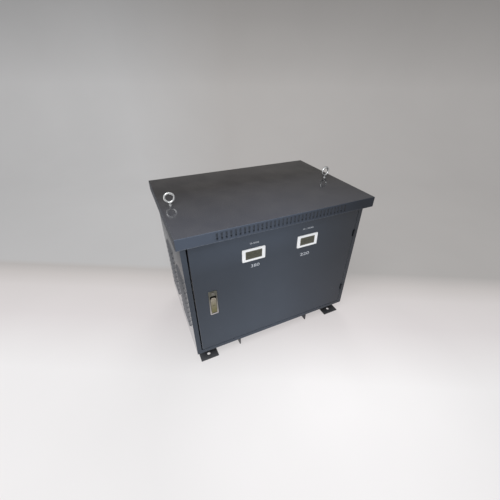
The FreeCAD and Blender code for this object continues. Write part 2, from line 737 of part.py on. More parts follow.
def clamp(level, side):
    """Steel channel along one face of one yoke, flanges outwards, square holes at its ends."""
    body = new_body("%s_clamp_%s" % (level, "front" if side < 0 else "rear"))
    low = CLAMP_LOW if level == "lower" else CLAMP_HIGH
    high = low + S.clamp_height
    web = S.core_depth_place + side * S.stack_depth / 2
    outside = web + side * S.clamp_sheet
    tip = web + side * S.clamp_flange
    channel = [(web, low), (tip, low), (tip, low + S.clamp_sheet),
               (outside, low + S.clamp_sheet), (outside, high - S.clamp_sheet),
               (tip, high - S.clamp_sheet), (tip, high), (web, high)]
    pad_outline(body, "side", -CLAMP_LENGTH / 2, channel, CLAMP_LENGTH, 1)
    bolt = S.clamp_bolt_radius + S.clamp_bolt_clearance
    slots = []
    for x, z in yoke_bolt_places():
        if low.number < z.number < high.number:
            slots.append(block(x - bolt, x + bolt, z - bolt, z + bolt))
    pocket_outlines(body, "front", web, slots, S.clamp_sheet, side)
    if level == "upper" and side > 0:
        pocket_outlines(body, "plan", low - OVERCUT, lead_slots(),
                        S.clamp_height + 2 * OVERCUT, 1)
    keep(body.Label, body)


def lead_slots():
    """Slots through which the three inner leads rise, clear of the steel all round."""
    start = S.core_depth_place + S.lead_rise_place
    room = S.lead_slot_clearance
    half = S.lead_width / 2 + room
    return [block(phase * LIMB_PITCH - half, phase * LIMB_PITCH + half, start - room,
                  start + S.lead_sheet + room) for phase in PHASES.values()]


def clamp_bolts():
    """Bolts across the clamps, each with its nut: head in front, nut behind."""
    items = []
    head_face = S.core_depth_place - S.stack_depth / 2 - S.clamp_sheet
    nut_face = S.core_depth_place + S.stack_depth / 2 + S.clamp_sheet
    for x, z in yoke_bolt_places():
        head = hexagon("y", x, head_face - S.clamp_head_height, z, S.clamp_head_radius,
                       S.clamp_head_height)
        shank = cylinder("y", x, head_face, z, S.clamp_bolt_radius, nut_face - head_face)
        far = hexagon("y", x, nut_face, z, S.clamp_head_radius, S.clamp_head_height)
        items.append(fuse(head, shank, far))
    keep("clamp_bolts", group(items))


def rubber_pads():
    """Blocks over the cross ribs on which the lower clamps stand."""
    pads = []
    centre = S.rib_place + S.rib_sheet - S.rib_flange / 2
    tip = S.stack_depth / 2 + S.clamp_flange
    for side in (-1, 1):
        x = side * centre
        for end in (-1, 1):
            far = S.core_depth_place + end * tip
            y_ends = in_order(-end, far, S.pad_length)
            pads.append(box(x - S.pad_width / 2, x + S.pad_width / 2, *y_ends, FLOOR_TOP,
                            CLAMP_LOW))
    keep("rubber_pads", group(pads))


# Windings.

def coil(label, phase, inner_gap, wall):
    """Winding of one phase: a tube round the limb, round outside and clipped inside."""
    body = new_body(label)
    centre = phase * LIMB_PITCH
    half_x = S.limb_width / 2 + inner_gap
    half_y = S.stack_depth / 2 + inner_gap
    middle = S.core_depth_place
    outer = block(centre - half_x - wall, centre + half_x + wall, middle - half_y - wall,
                  middle + half_y + wall)
    tube = pad_outline(body, "plan", COIL_LOW, outer, COIL_HEIGHT, 1)
    round_edges(body, tube, inner_gap + wall, upright)
    clip = inner_gap / 2
    inner = [(centre + u, middle + v) for u, v in
             ((-half_x, clip - half_y), (clip - half_x, -half_y), (half_x - clip, -half_y),
              (half_x, clip - half_y), (half_x, half_y - clip), (half_x - clip, half_y),
              (clip - half_x, half_y), (-half_x, half_y - clip))]
    pocket_outlines(body, "plan", COIL_LOW, [inner], COIL_HEIGHT, 1)
    keep(label, body)


def coils():
    for name, phase in PHASES.items():
        coil("low_voltage_coil_" + name, phase, S.former_gap, S.low_coil_wall)
        coil("high_voltage_coil_" + name, phase, HIGH_COIL_IN, S.high_coil_wall)


def duct_spacers():
    """Sticks that hold the cooling duct open between the two coils of each phase."""
    sticks = []
    half = S.spacer_width / 2
    for phase in PHASES.values():
        centre = phase * LIMB_PITCH
        for side in (-1, 1):
            low_x = S.limb_width / 2 + LOW_COIL_OUT
            low_y = S.stack_depth / 2 + LOW_COIL_OUT
            for offset in (-S.spacer_offset, S.spacer_offset):
                x_ends = in_order(side, centre + side * low_x, S.duct_gap)
                y = S.core_depth_place + offset
                sticks.append(box(*x_ends, y - half, y + half, COIL_LOW, COIL_TOP))
                y_ends = in_order(side, S.core_depth_place + side * low_y, S.duct_gap)
                x = centre + offset
                sticks.append(box(x - half, x + half, *y_ends, COIL_LOW, COIL_TOP))
    keep("duct_spacers", group(sticks))


def in_order(side, start, length):
    """The two ends of a span that leaves a start towards one side, lower one first."""
    return (start, start + length) if side > 0 else (start - length, start)


def coil_blocks():
    """Insulating blocks between the clamps' flanges and the ends of the coils."""
    blocks = []
    half = S.block_width / 2
    depth = S.clamp_flange - S.clamp_sheet - 2 * S.block_margin
    levels = ((CLAMP_LOW + S.clamp_height, COIL_LOW), (COIL_TOP, CLAMP_HIGH))
    for phase in PHASES.values():
        for side in (-1, 1):
            start = S.core_depth_place + side * (S.stack_depth / 2 + S.clamp_sheet
                                                 + S.block_margin)
            y_ends = in_order(side, start, depth)
            for offset in (-S.block_offset, S.block_offset):
                x = phase * LIMB_PITCH + offset
                for low, high in levels:
                    blocks.append(box(x - half, x + half, *y_ends, low, high))
    keep("coil_blocks", group(blocks))


# Terminals and leads.

def stud_places(side):
    return [(phase * LIMB_PITCH, S.core_depth_place + side * S.stud_reach)
            for phase in PHASES.values()]


def terminal_board(side, name):
    """Insulating strip on an upper clamp, slotted behind for the inner leads."""
    body = new_body(name + "_terminal_board")
    near_y = S.core_depth_place + side * (S.stack_depth / 2 + S.clamp_sheet)
    far_y = near_y + side * S.board_width
    half = S.board_length / 2
    pad_outline(body, "plan", BOARD_LOW, block(-half, half, near_y, far_y), S.board_height, 1)
    if side > 0:
        pocket_outlines(body, "plan", BOARD_LOW - OVERCUT, lead_slots(),
                        S.board_height + 2 * OVERCUT, 1)
    keep(body.Label, body)


def terminal_studs():
    """Brass studs, each with the nut that clamps its lead to the board."""
    studs = []
    low = BOARD_TOP + S.lead_sheet
    for side in (-1, 1):
        for x, y in stud_places(side):
            shaft = cylinder("z", x, y, low, S.stud_radius, S.stud_height)
            studs.append(fuse(shaft, hexagon("z", x, y, low, S.stud_nut_radius,
                                             S.stud_nut_height)))
    keep("terminal_studs", group(studs))


def leads(side, name):
    """Copper bars, each bent once, from the coils up to the studs of one board."""
    bars = []
    half = S.lead_width / 2
    if side < 0:
        coil_face = S.stack_depth / 2 + HIGH_COIL_OUT
        upright_ends = in_order(side, S.core_depth_place - coil_face, S.lead_sheet)
        low = COIL_TOP - S.lead_overlap
    else:
        upright_ends = in_order(side, S.core_depth_place + S.lead_rise_place, S.lead_sheet)
        low = COIL_TOP
    for x, y in stud_places(side):
        top = BOARD_TOP + S.lead_sheet
        rise = box(x - half, x + half, *upright_ends, low, top)
        flat = box(x - half, x + half, upright_ends[0], y + half, BOARD_TOP, top)
        bars.append(fuse(rise, flat))
    keep(name + "_leads", group(bars))


# Door.

def hinge_heights():
    return [LID_TOP - S.hinge_low_drop, LID_TOP - S.hinge_high_drop]


def hinge_notch_spans():
    reach = S.hinge_height / 2 + S.notch_clearance
    return [(z - reach, z + reach) for z in hinge_heights()]


def door_outline(inset):
    """The door's edges seen from the front, moved inwards by the given distance."""
    return block(DOOR_LEFT + inset, DOOR_RIGHT - inset, DOOR_BOTTOM + inset,
                 DOOR_TOP - inset)


def door_panel():
    """Folded pan, flush with the front, with an inward lip all round its back."""
    body = new_body("door_panel")
    pan = pad_outline(body, "front", DOOR_BACK, door_outline(0), S.door_depth, -1)
    round_edges(body, pan, S.door_bend,
                lambda first, second: near(first.y, FRONT) and near(second.y, FRONT))
    pocket_outlines(body, "front", PANEL_BACK, [door_outline(S.door_sheet)],
                    S.door_depth - 2 * S.door_sheet, 1)
    pocket_outlines(body, "front", DOOR_BACK - S.door_sheet, [door_outline(S.door_lip)],
                    S.door_sheet, 1)
    room = S.meter_clearance
    half_x, half_z = S.meter_width / 2 + room, S.meter_height / 2 + room
    windows = [block(x - half_x, x + half_x, METER_Z - half_z, METER_Z + half_z)
               for x in (METER_LEFT, METER_RIGHT)]
    cup_x = S.cup_width / 2 + S.cup_clearance
    cup_z = S.cup_height / 2 + S.cup_clearance
    windows.append(block(LATCH_X - cup_x, LATCH_X + cup_x, LATCH_Z - cup_z,
                         LATCH_Z + cup_z))
    pocket_outlines(body, "front", FRONT, windows, S.door_sheet, 1)
    notch_edge = PIN_X - S.barrel_radius - S.door_notch_room
    notch_depth = S.barrel_radius + S.notch_clearance - S.barrel_stand_off
    notches = [block(notch_edge, DOOR_RIGHT + OVERCUT, low, high)
               for low, high in hinge_notch_spans()]
    pocket_outlines(body, "front", FRONT, notches, notch_depth, 1)
    keep(body.Label, body)


def door_stiffener():
    """Upright hat section behind the middle of the door."""
    body = new_body("door_stiffener")
    half = S.stiffener_width / 2
    step = half - S.stiffener_flange
    sheet_in = S.door_sheet
    back = PANEL_BACK + S.stiffener_height
    right = [(half, PANEL_BACK), (half, PANEL_BACK + sheet_in), (step, PANEL_BACK + sheet_in),
             (step, back)]
    inner = [(step - sheet_in, back - sheet_in), (step - sheet_in, PANEL_BACK)]
    outline = right + [(-x, y) for x, y in reversed(right)]
    outline += [(-x, y) for x, y in reversed(inner)] + inner
    low = DOOR_BOTTOM + S.stiffener_end_gap
    pad_outline(body, "plan", low, outline, DOOR_TOP - S.stiffener_end_gap - low, 1)
    keep(body.Label, body)


def door_gasket():
    """Foam strip round the back of the door's lip."""
    body = new_body("door_gasket")
    outer = door_outline(S.gasket_inset)
    inner = door_outline(S.gasket_inset + S.gasket_width)
    pad_ring(body, "front", DOOR_BACK, outer, inner, S.gasket_height, 1)
    keep(body.Label, body)


def hinge_parts():
    """Lift-off hinges: knuckles with fixed pins on the cabinet, plain knuckles on the door."""
    reach = S.hinge_height / 2
    low_gap = S.knuckle_gap / 2
    leaf_back = DOOR_BACK - S.door_sheet - S.leaf_end_gap
    span = reach - low_gap
    frame_leaf_x = OPENING_SIDE + S.case_sheet
    door_leaf_x = DOOR_RIGHT - S.door_sheet
    frame_leaves, door_leaves = [], []
    for z in hinge_heights():
        knuckle = cylinder("z", PIN_X, PIN_Y, z - reach, S.barrel_radius, span)
        pin = cylinder("z", PIN_X, PIN_Y, z - low_gap, S.pin_radius, reach - S.pin_cap)
        leaf = box(frame_leaf_x, frame_leaf_x + S.leaf_sheet, PIN_Y, leaf_back, z - reach,
                   z - low_gap)
        frame_leaves.append(fuse(knuckle, pin, leaf))
        knuckle = cylinder("z", PIN_X, PIN_Y, z + low_gap, S.barrel_radius, span)
        leaf = box(door_leaf_x - S.leaf_sheet, door_leaf_x, PIN_Y, leaf_back, z + low_gap,
                   z + reach)
        bore = cylinder("z", PIN_X, PIN_Y, z + low_gap, S.pin_radius + S.pin_clearance,
                        span - S.pin_cap)
        door_leaves.append(cut(fuse(knuckle, leaf), bore))
    keep("hinge_frame_leaves", group(frame_leaves))
    keep("hinge_door_leaves", group(door_leaves))


# Meters.

def meter(side):
    """Panel meter: moulded case with its bezel, and a screen set into the bezel."""
    name = sided(side) + "_meter"
    middle = METER_LEFT if side < 0 else METER_RIGHT
    body = new_body(name + "_case")

    def around(half_x, half_z):
        return block(middle - half_x, middle + half_x, METER_Z - half_z, METER_Z + half_z)

    face = FRONT - S.bezel_rise
    bezel = pad_outline(body, "front", FRONT, around(S.bezel_width / 2, S.bezel_height / 2),
                        S.bezel_rise, -1)
    round_edges(body, bezel, S.bezel_corner,
                lambda first, second: near(first.x, second.x) and near(first.z, second.z))
    pad_outline(body, "front", FRONT, around(S.meter_width / 2, S.meter_height / 2),
                S.meter_depth, 1)
    pocket_outlines(body, "front", face, [around(S.screen_width / 2, S.screen_height / 2)],
                    S.screen_recess, 1)
    keep(body.Label, body)
    room = S.screen_clearance
    half_x, half_z = S.screen_width / 2 - room, S.screen_height / 2 - room
    back = face + S.screen_recess
    screen = box(middle - half_x, middle + half_x, back - S.screen_sheet, back,
                 METER_Z - half_z, METER_Z + half_z)
    keep(name + "_screen", screen)


def meter_clips():
    """Side clips that hold the meter cases against the back of the door sheet."""
    clips = []
    half = S.clip_height / 2
    for middle in (METER_LEFT, METER_RIGHT):
        for end in (-1, 1):
            start = middle + end * S.meter_width / 2
            x_ends = in_order(end, start, S.clip_width)
            clips.append(box(*x_ends, PANEL_BACK, PANEL_BACK + S.clip_depth, METER_Z - half,
                             METER_Z + half))
    keep("meter_clips", group(clips))


# Latch.

def latch_housing():
    """Cast plate with a cup behind it: a recess for the handle and a bore for the lock."""
    body = new_body("latch_housing")
    middle = LATCH_X

    def around(half_x, half_z):
        return block(middle - half_x, middle + half_x, LATCH_Z - half_z, LATCH_Z + half_z)

    face = FRONT - S.latch_rise
    plate = pad_outline(body, "front", FRONT, around(S.latch_width / 2, S.latch_height / 2),
                        S.latch_rise, -1)
    rounded = round_edges(body, plate, S.latch_corner, lambda first, second:
                          near(first.x, second.x) and near(first.z, second.z))
    bevel_edges(body, rounded, S.latch_bevel,
                lambda first, second: near(first.y, face) and near(second.y, face))
    pad_outline(body, "front", FRONT, around(S.cup_width / 2, S.cup_height / 2), S.cup_depth, 1)
    half = S.cup_width / 2 - S.cup_wall
    recess = block(middle - half, middle + half, RECESS_LOW, RECESS_LOW + S.recess_length)
    depth = S.latch_rise + S.cup_depth - S.cup_wall
    pocket_outlines(body, "front", face, [recess], depth, 1)
    pocket_circles(body, "front", face, [(middle, LOCK_Z, S.lock_radius)],
                   S.latch_rise + S.cup_depth, 1)
    pocket_circles(body, "side", middle - S.cup_width / 2,
                   [(HANDLE_Y, HANDLE_PIN_Z, S.handle_pin_radius)], S.cup_width, 1)
    keep(body.Label, body)


def latch_handle():
    """Folding handle: flat bar with a round top, a finger dish, and a pin hole at its foot."""
    half = S.cup_width / 2 - S.cup_wall - S.handle_clearance
    x, y = LATCH_X, HANDLE_Y
    thick = S.handle_sheet
    front, back = y - thick / 2, y + thick / 2
    top_centre = HANDLE_LOW + S.handle_length - half
    bar = box(x - half, x + half, front, back, HANDLE_PIN_Z, top_centre)
    crown = cylinder("y", x, front, top_centre, half, thick)
    foot = cylinder("x", x - half, y, HANDLE_PIN_Z, thick / 2, 2 * half)
    bore = cylinder("x", x - half, y, HANDLE_PIN_Z, S.handle_pin_radius + S.pin_clearance,
                    2 * half)
    dish_half = S.finger_dish_width / 2
    dish = box(x - dish_half, x + dish_half, front, front + S.finger_dish_depth,
               top_centre - S.finger_dish_length, top_centre)
    dish_top = cylinder("y", x, front, top_centre, dish_half, S.finger_dish_depth)
    keep("latch_handle", cut(fuse(bar, crown, foot), bore, dish, dish_top))


def handle_pin():
    start = LATCH_X - S.cup_width / 2
    keep("handle_pin", cylinder("x", start, HANDLE_Y, HANDLE_PIN_Z, S.handle_pin_radius,
                                S.cup_width))


def lock_cylinder():
    """Key cylinder: slotted face, plain barrel and a thinner tail for the cam."""
    x, z = LATCH_X, LOCK_Z
    face = FRONT - S.latch_rise - S.lock_rise
    barrel = cylinder("y", x, face, z, S.lock_radius - S.lock_clearance, CAM_FRONT - face)
    tail = cylinder("y", x, CAM_FRONT, z, S.cam_hub_radius, S.cam_sheet + S.cam_tail)
    half_x, half_z = S.key_slot_width / 2, S.key_slot_height / 2
    slot = box(x - half_x, x + half_x, face, face + S.key_slot_depth, z - half_z, z + half_z)
    keep("lock_cylinder", cut(fuse(barrel, tail), slot))


def lock_cam():
    """Flat tongue that hangs from the lock when it is open."""
    x, z = LATCH_X, LOCK_Z
    half = S.cam_width / 2
    tongue = box(x - half, x + half, CAM_FRONT, CAM_FRONT + S.cam_sheet,
                 z - S.cam_length, z)
    hub = cylinder("y", x, CAM_FRONT, z, half, S.cam_sheet)
    bore = cylinder("y", x, CAM_FRONT, z, S.cam_hub_radius, S.cam_sheet)
    keep("lock_cam", cut(fuse(tongue, hub), bore))


def build():
    for side in (-1, 1):
        base_rail(side)
        cross_rib(side)
        side_panel(side)
        meter(side)
    floor_pan()
    top_front_rail()
    top_rear_rail()
    rear_panel()
    lid()
    lifting_bar()
    keep("eye_bolts", group([eye_bolt(side) for side in (-1, 1)]))
    eye_nuts()
    cable_edge_strip()
    core()
    for level in ("lower", "upper"):
        for side in (-1, 1):
            clamp(level, side)
    clamp_bolts()
    rubber_pads()
    coils()
    duct_spacers()
    coil_blocks()
    terminal_board(-1, "primary")
    terminal_board(1, "secondary")
    terminal_studs()
    leads(-1, "primary")
    leads(1, "secondary")
    door_panel()
    door_stiffener()
    door_gasket()
    hinge_parts()
    meter_clips()
    latch_housing()
    latch_handle()
    handle_pin()
    lock_cylinder()
    lock_cam()


def check_and_write():
    """Stop on any failed object or faulty shape, then write one file for each piece."""
    doc.recompute()
    for item in doc.Objects:
        if "Invalid" in item.State or "Error" in item.State:
            raise RuntimeError("failed: %s (%s)" % (item.Name, item.Label))
    for item in pieces:
        if item.Shape.isNull() or not item.Shape.isValid():
            raise RuntimeError("faulty shape: " + item.Label)
    os.makedirs("parts", exist_ok=True)
    for item in pieces:
        item.Shape.exportStep("parts/%s.step" % item.Label)
        solids = len(item.Shape.Solids)
        print("%-26s %2d solid(s) %12.1f mm3" % (item.Label, solids, item.Shape.Volume))
    print(len(pieces), "pieces")


build()
check_and_write()
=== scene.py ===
"""Looks of the dry-type three-phase transformer in its floor cabinet.

Metres, in the CAD frame: X to the right, Y to the back, Z up, origin on the floor below the lid.
The cabinet's sheet metal, core, coils, meters and latch keep their CAD shapes and get worked-up
finishes. The lifting eyes, display digits, rear screws, terminals and panel marks are made here.
"""
import math

import bmesh
import bpy
from mathutils import Euler, Matrix, Vector


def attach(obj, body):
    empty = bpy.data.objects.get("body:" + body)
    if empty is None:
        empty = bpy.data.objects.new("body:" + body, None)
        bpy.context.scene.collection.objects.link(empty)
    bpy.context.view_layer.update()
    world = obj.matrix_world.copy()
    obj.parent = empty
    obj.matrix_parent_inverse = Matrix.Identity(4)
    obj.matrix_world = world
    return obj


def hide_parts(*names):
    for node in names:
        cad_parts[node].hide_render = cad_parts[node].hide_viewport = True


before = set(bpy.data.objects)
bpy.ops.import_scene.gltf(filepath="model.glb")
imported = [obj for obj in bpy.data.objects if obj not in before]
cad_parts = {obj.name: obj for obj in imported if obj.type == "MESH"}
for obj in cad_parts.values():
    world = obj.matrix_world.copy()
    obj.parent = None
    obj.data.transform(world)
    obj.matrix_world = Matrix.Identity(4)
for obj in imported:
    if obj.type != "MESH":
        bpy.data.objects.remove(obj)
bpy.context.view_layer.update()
MM = 0.001


def node_box(name, side=0):
    """Lowest and highest corner of a CAD node, or of its part to one side of X = 0."""
    points = [vertex.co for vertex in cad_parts[name].data.vertices
              if vertex.co.x * side >= 0]
    return [Vector([pick(point[axis] for point in points) for axis in range(3)])
            for pick in (min, max)]


def node_point(name, x=0.5, y=0.5, z=0.5, side=0):
    """A point of a CAD node's box, as shares of the way from its low to its high sides."""
    low, high = node_box(name, side)
    return Vector([low[axis] + (high[axis] - low[axis]) * share
                   for axis, share in enumerate((x, y, z))])


LID_OVERHANG = 17 * MM
LID_TOP = node_box("lid")[1].z
SIDE_PLANE = node_box("lid")[1].x - LID_OVERHANG
LATCH_LOW = node_box("latch_housing")[0].z
DOOR_FRONT = node_box("door_panel")[0].y
LEFT_METER, RIGHT_METER = (node_point(name, y=0)
                           for name in ("left_meter_screen", "right_meter_screen"))


# Shader building.

class Shader:
    """A node tree that is filled by short calls."""

    def __init__(self, tree):
        self.tree = tree

    def node(self, kind, **settings):
        made = self.tree.nodes.new(kind)
        for name, value in settings.items():
            setattr(made, name, value)
        return made

    def feed(self, socket, value):
        """Link an output to the socket, or write a plain value on it."""
        if isinstance(value, bpy.types.NodeSocket):
            self.tree.links.new(value, socket)
        elif value is not None:
            socket.default_value = value

    def math(self, operation, first, second=None, clamp=False):
        made = self.node("ShaderNodeMath", operation=operation, use_clamp=clamp)
        self.feed(made.inputs[0], first)
        if second is not None:
            self.feed(made.inputs[1], second)
        return made.outputs[0]

    def times(self, first, *others):
        """Product of two or more values."""
        for other in others:
            first = self.math("MULTIPLY", first, other)
        return first

    def split(self, vector):
        """The X, Y and Z of a vector."""
        made = self.node("ShaderNodeSeparateXYZ")
        self.feed(made.inputs[0], vector)
        return made.outputs

    def object_point(self):
        return self.node("ShaderNodeTexCoord").outputs["Object"]

    def true_normal(self):
        return self.node("ShaderNodeNewGeometry").outputs["True Normal"]

    def noise(self, point, scale, detail=3.0, roughness=0.5):
        made = self.node("ShaderNodeTexNoise")
        self.feed(made.inputs["Vector"], point)
        self.feed(made.inputs["Scale"], scale)
        made.inputs["Detail"].default_value = detail
        made.inputs["Roughness"].default_value = roughness
        return made.outputs["Fac"]

    def span(self, value, low, high, to_low=0.0, to_high=1.0):
        """Value spread from the range low to high onto the range to_low to to_high."""
        made = self.node("ShaderNodeMapRange")
        self.feed(made.inputs["Value"], value)
        for name, limit in (("From Min", low), ("From Max", high), ("To Min", to_low),
                            ("To Max", to_high)):
            self.feed(made.inputs[name], limit)
        return made.outputs["Result"]

    def slide(self, mask, at_none, at_full):
        """Factor that goes from one value to the other as the mask goes from 0 to 1."""
        return self.span(mask, 0.0, 1.0, at_none, at_full)

    def blend(self, amount, first, second):
        made = self.node("ShaderNodeMix", data_type="RGBA")
        self.feed(made.inputs["Factor"], amount)
        self.feed(made.inputs["A"], first)
        self.feed(made.inputs["B"], second)
        return made.outputs["Result"]

    def scale_colour(self, colour, factor):
        made = self.node("ShaderNodeVectorMath", operation="SCALE")
        self.feed(made.inputs[0], colour[:3] if isinstance(colour, tuple) else colour)
        self.feed(made.inputs["Scale"], factor)
        return made.outputs[0]

    def bump(self, height, strength, distance, normal=None):
        made = self.node("ShaderNodeBump")
        self.feed(made.inputs["Height"], height)
        made.inputs["Strength"].default_value = strength
        made.inputs["Distance"].default_value = distance
        if normal is not None:
            self.feed(made.inputs["Normal"], normal)
        return made.outputs["Normal"]

    def use(self, group, **values):
        made = self.node("ShaderNodeGroup", node_tree=group)
        for name, value in values.items():
            self.feed(made.inputs[name.replace("_", " ").capitalize()], value)
        return made.outputs


def shader_group(name, inputs, outputs):
    """An empty node group with named sockets; returns the tree, its builder and both ends."""
    tree = bpy.data.node_groups.new(name, "ShaderNodeTree")
    for label, kind, value in inputs:
        socket = tree.interface.new_socket(label, in_out="INPUT", socket_type=kind)
        socket.default_value = value
    for label, kind in outputs:
        tree.interface.new_socket(label, in_out="OUTPUT", socket_type=kind)
    build = Shader(tree)
    start = build.node("NodeGroupInput").outputs
    end = build.node("NodeGroupOutput").inputs
    return tree, build, start, end


NUMBER, VECTOR = "NodeSocketFloat", "NodeSocketVector"


def make_edge_group():
    """Rounded edges: a softened normal, and a mask of how sharp the edge is here."""
    tree, build, start, end = shader_group(
        "edge_softening", [("Radius", NUMBER, 0.001)],
        [("Normal", VECTOR), ("Edge", NUMBER)])
    bevel = build.node("ShaderNodeBevel", samples=6)
    build.feed(bevel.inputs["Radius"], start["Radius"])
    dot = build.node("ShaderNodeVectorMath", operation="DOT_PRODUCT")
    build.feed(dot.inputs[0], bevel.outputs["Normal"])
    build.feed(dot.inputs[1], build.true_normal())
    build.feed(end["Normal"], bevel.outputs["Normal"])
    build.feed(end["Edge"], build.span(dot.outputs["Value"], 0.995, 0.8))
    return tree


def make_coat_group():
    """Sprayed coat: fine peel for the bump, slow mottling for colour and gloss."""
    tree, build, start, end = shader_group(
        "sprayed_coat", [("Grain", NUMBER, 900.0), ("Mottle", NUMBER, 5.0)],
        [("Height", NUMBER), ("Mottling", NUMBER), ("Smudge", NUMBER)])
    point = build.object_point()
    fine = build.noise(point, start["Grain"], 2.0)
    slow = build.noise(point, start["Mottle"], 2.0, 0.5)
    build.feed(end["Height"], build.math("ADD", fine, build.times(slow, 2.0)))
    build.feed(end["Mottling"], build.span(slow, 0.3, 0.7))
    flattened = build.node("ShaderNodeMapping")
    build.feed(flattened.inputs["Vector"], build.object_point())
    flattened.inputs["Scale"].default_value = (5.0, 5.0, 40.0)
    streak = build.noise(flattened.outputs[0], 4.0, 4.0, 0.6)
    build.feed(end["Smudge"], build.span(streak, 0.52, 0.75))
    return tree


def make_facing_group():
    """Masks for faces that look up, sideways, and along Y to the front or the rear."""
    tree, build, start, end = shader_group(
        "facing", [("Sharpness", NUMBER, 0.75)],
        [("Up", NUMBER), ("Sideways", NUMBER), ("Along", NUMBER)])
    x, y, z = build.split(build.true_normal())
    build.feed(end["Up"], build.span(z, start["Sharpness"], 0.97))
    build.feed(end["Sideways"], build.span(build.math("ABSOLUTE", x), 0.15, 0.4))
    build.feed(end["Along"], build.span(build.math("ABSOLUTE", y), 0.3, 0.6))
    return tree


# Where the painted light and shade and the coat's masks lie, in millimetres on the cabinet.
LEFT_END, RIGHT_END = (-400, -100), 360
LOW_END, HIGH_END, HIGH_FADES = (120, 400), (500, 640), (-200, 340)
REAR_TO_FRONT, LOW_TO_HIGH, MIDDLE_TO_RIGHT = (100, -290), (100, 680), (0, 400)
SLOTS_RISE, SLOTS_STOP = (652, 660), (694, 688)
SLOTS_BEGIN, SLOTS_END = (-300, -270), (400, 300)
HOODS_RISE = (0.5, 2)


def make_painted_light_group():
    """Painted light and shade over the cabinet as a slow change of tone, and masks for places.

    Left, Right, Low and High are the painted light's factors at those ends, and Start is where
    the right end's painted shade begins. Hoods are the louvres' hoods, proud of the sides, and
    Slots the band of slots in the lid's skirt.
    """
    tree, build, start, end = shader_group(
        "coat_painted_light", [("Left", NUMBER, 1.0), ("Right", NUMBER, 1.0), ("Low", NUMBER, 1.0),
                       ("High", NUMBER, 1.0), ("Start", NUMBER, 0.0)],
        [("Light_factor", NUMBER), ("Front", NUMBER), ("Height", NUMBER), ("Across", NUMBER),
         ("Hoods", NUMBER), ("Slots", NUMBER)])
    x, y, z = build.split(build.object_point())

    def over(value, places, *factors):
        return build.span(value, places[0] * MM, places[1] * MM, *factors)

    # Painted light and shade: the factors of the four ends, multiplied together.
    left = over(x, LEFT_END, start["Left"], 1.0)
    right = build.span(x, start["Start"], RIGHT_END * MM, 1.0, start["Right"])
    low = over(z, LOW_END, start["Low"], 1.0)
    high = build.times(over(z, HIGH_END), over(x, HIGH_FADES, 1.0, 0.0))
    build.feed(end["Light_factor"], build.times(left, right, low, build.slide(high, 1.0, start["High"])))
    build.feed(end["Front"], over(y, REAR_TO_FRONT))
    build.feed(end["Height"], over(z, LOW_TO_HIGH))
    build.feed(end["Across"], over(x, MIDDLE_TO_RIGHT))
    proud = build.math("SUBTRACT", build.math("ABSOLUTE", x), SIDE_PLANE)
    build.feed(end["Hoods"], over(proud, HOODS_RISE))
    build.feed(end["Slots"], build.times(over(z, SLOTS_RISE), over(z, SLOTS_STOP),
                                         over(x, SLOTS_BEGIN), over(x, SLOTS_END)))
    return tree


def make_dust_group():
    """Dust that settles on faces that look up, in loose patches."""
    tree, build, start, end = shader_group(
        "settled_dust", [("Amount", NUMBER, 0.3), ("Patches", NUMBER, 9.0)],
        [("Dust", NUMBER)])
    up = build.span(build.split(build.true_normal())["Z"], 0.6, 1.0)
    patch = build.span(build.noise(build.object_point(), start["Patches"], 6.0, 0.65),
                       0.35, 0.8)
    build.feed(end["Dust"], build.math("MULTIPLY", build.times(up, patch), start["Amount"],
                                       clamp=True))
    return tree


def make_brush_group():
    """Drawn or rolled metal: long fine lines along one axis."""
    tree, build, start, end = shader_group(
        "drawn_lines", [("Spacing", NUMBER, 700.0), ("Run", VECTOR, (1.0, 1.0, 0.05))],
        [("Height", NUMBER), ("Shade", NUMBER)])
    scaled = build.node("ShaderNodeVectorMath", operation="MULTIPLY")
    build.feed(scaled.inputs[0], build.object_point())
    build.feed(scaled.inputs[1], start["Run"])
    lines = build.noise(scaled.outputs[0], start["Spacing"], 3.0, 0.6)
    build.feed(end["Height"], lines)
    build.feed(end["Shade"], build.span(lines, 0.3, 0.7))
    return tree


def make_stack_group():
    """Edges of thin sheets piled along Y: dark joints and slightly unequal sheets."""
    tree, build, start, end = shader_group(
        "sheet_stack", [("Sheet", NUMBER, 0.0009)],
        [("Height", NUMBER), ("Shade", NUMBER)])
    across = build.split(build.object_point())["Y"]
    count = build.math("DIVIDE", across, start["Sheet"])
    saw = build.math("FRACT", count)
    joint = build.math("ABSOLUTE", build.math("SUBTRACT", saw, 0.5))
    body = build.span(joint, 0.32, 0.5, 1.0, 0.0)
    index = build.node("ShaderNodeTexWhiteNoise", noise_dimensions="1D")
    build.feed(index.inputs["W"], build.math("FLOOR", count))
    build.feed(end["Height"], body)
    build.feed(end["Shade"], build.times(body, build.slide(index.outputs["Value"], 0.75, 1.0)))
    return tree


def make_tape_group():
    """Tape wound round a coil: overlapping turns along Z with a cloth weave."""
    tree, build, start, end = shader_group(
        "wound_tape", [("Turn", NUMBER, 0.012), ("Weave", NUMBER, 1400.0)],
        [("Height", NUMBER), ("Shade", NUMBER), ("Lap", NUMBER)])
    point = build.object_point()
    x, y, z = build.split(point)
    wander = build.times(build.noise(point, 14.0, 2.0), 4 * MM)
    saw = build.math("FRACT", build.math("DIVIDE", build.math("ADD", z, wander), start["Turn"]))
    lap = build.span(saw, 0.0, 0.12, 1.0, 0.0)
    warp = build.math("SINE", build.times(build.math("ADD", x, y), start["Weave"]))
    weft = build.math("SINE", build.times(z, start["Weave"]))
    build.feed(end["Height"], build.math("ADD", saw, build.times(warp, weft, 0.12)))
    build.feed(end["Shade"], build.span(build.noise(point, 22.0, 4.0), 0.3, 0.7))
    build.feed(end["Lap"], lap)
    return tree


EDGE = make_edge_group()
COAT = make_coat_group()
FACING = make_facing_group()
PAINTED_LIGHT = make_painted_light_group()
DUST = make_dust_group()
BRUSH = make_brush_group()
STACK = make_stack_group()
TAPE = make_tape_group()


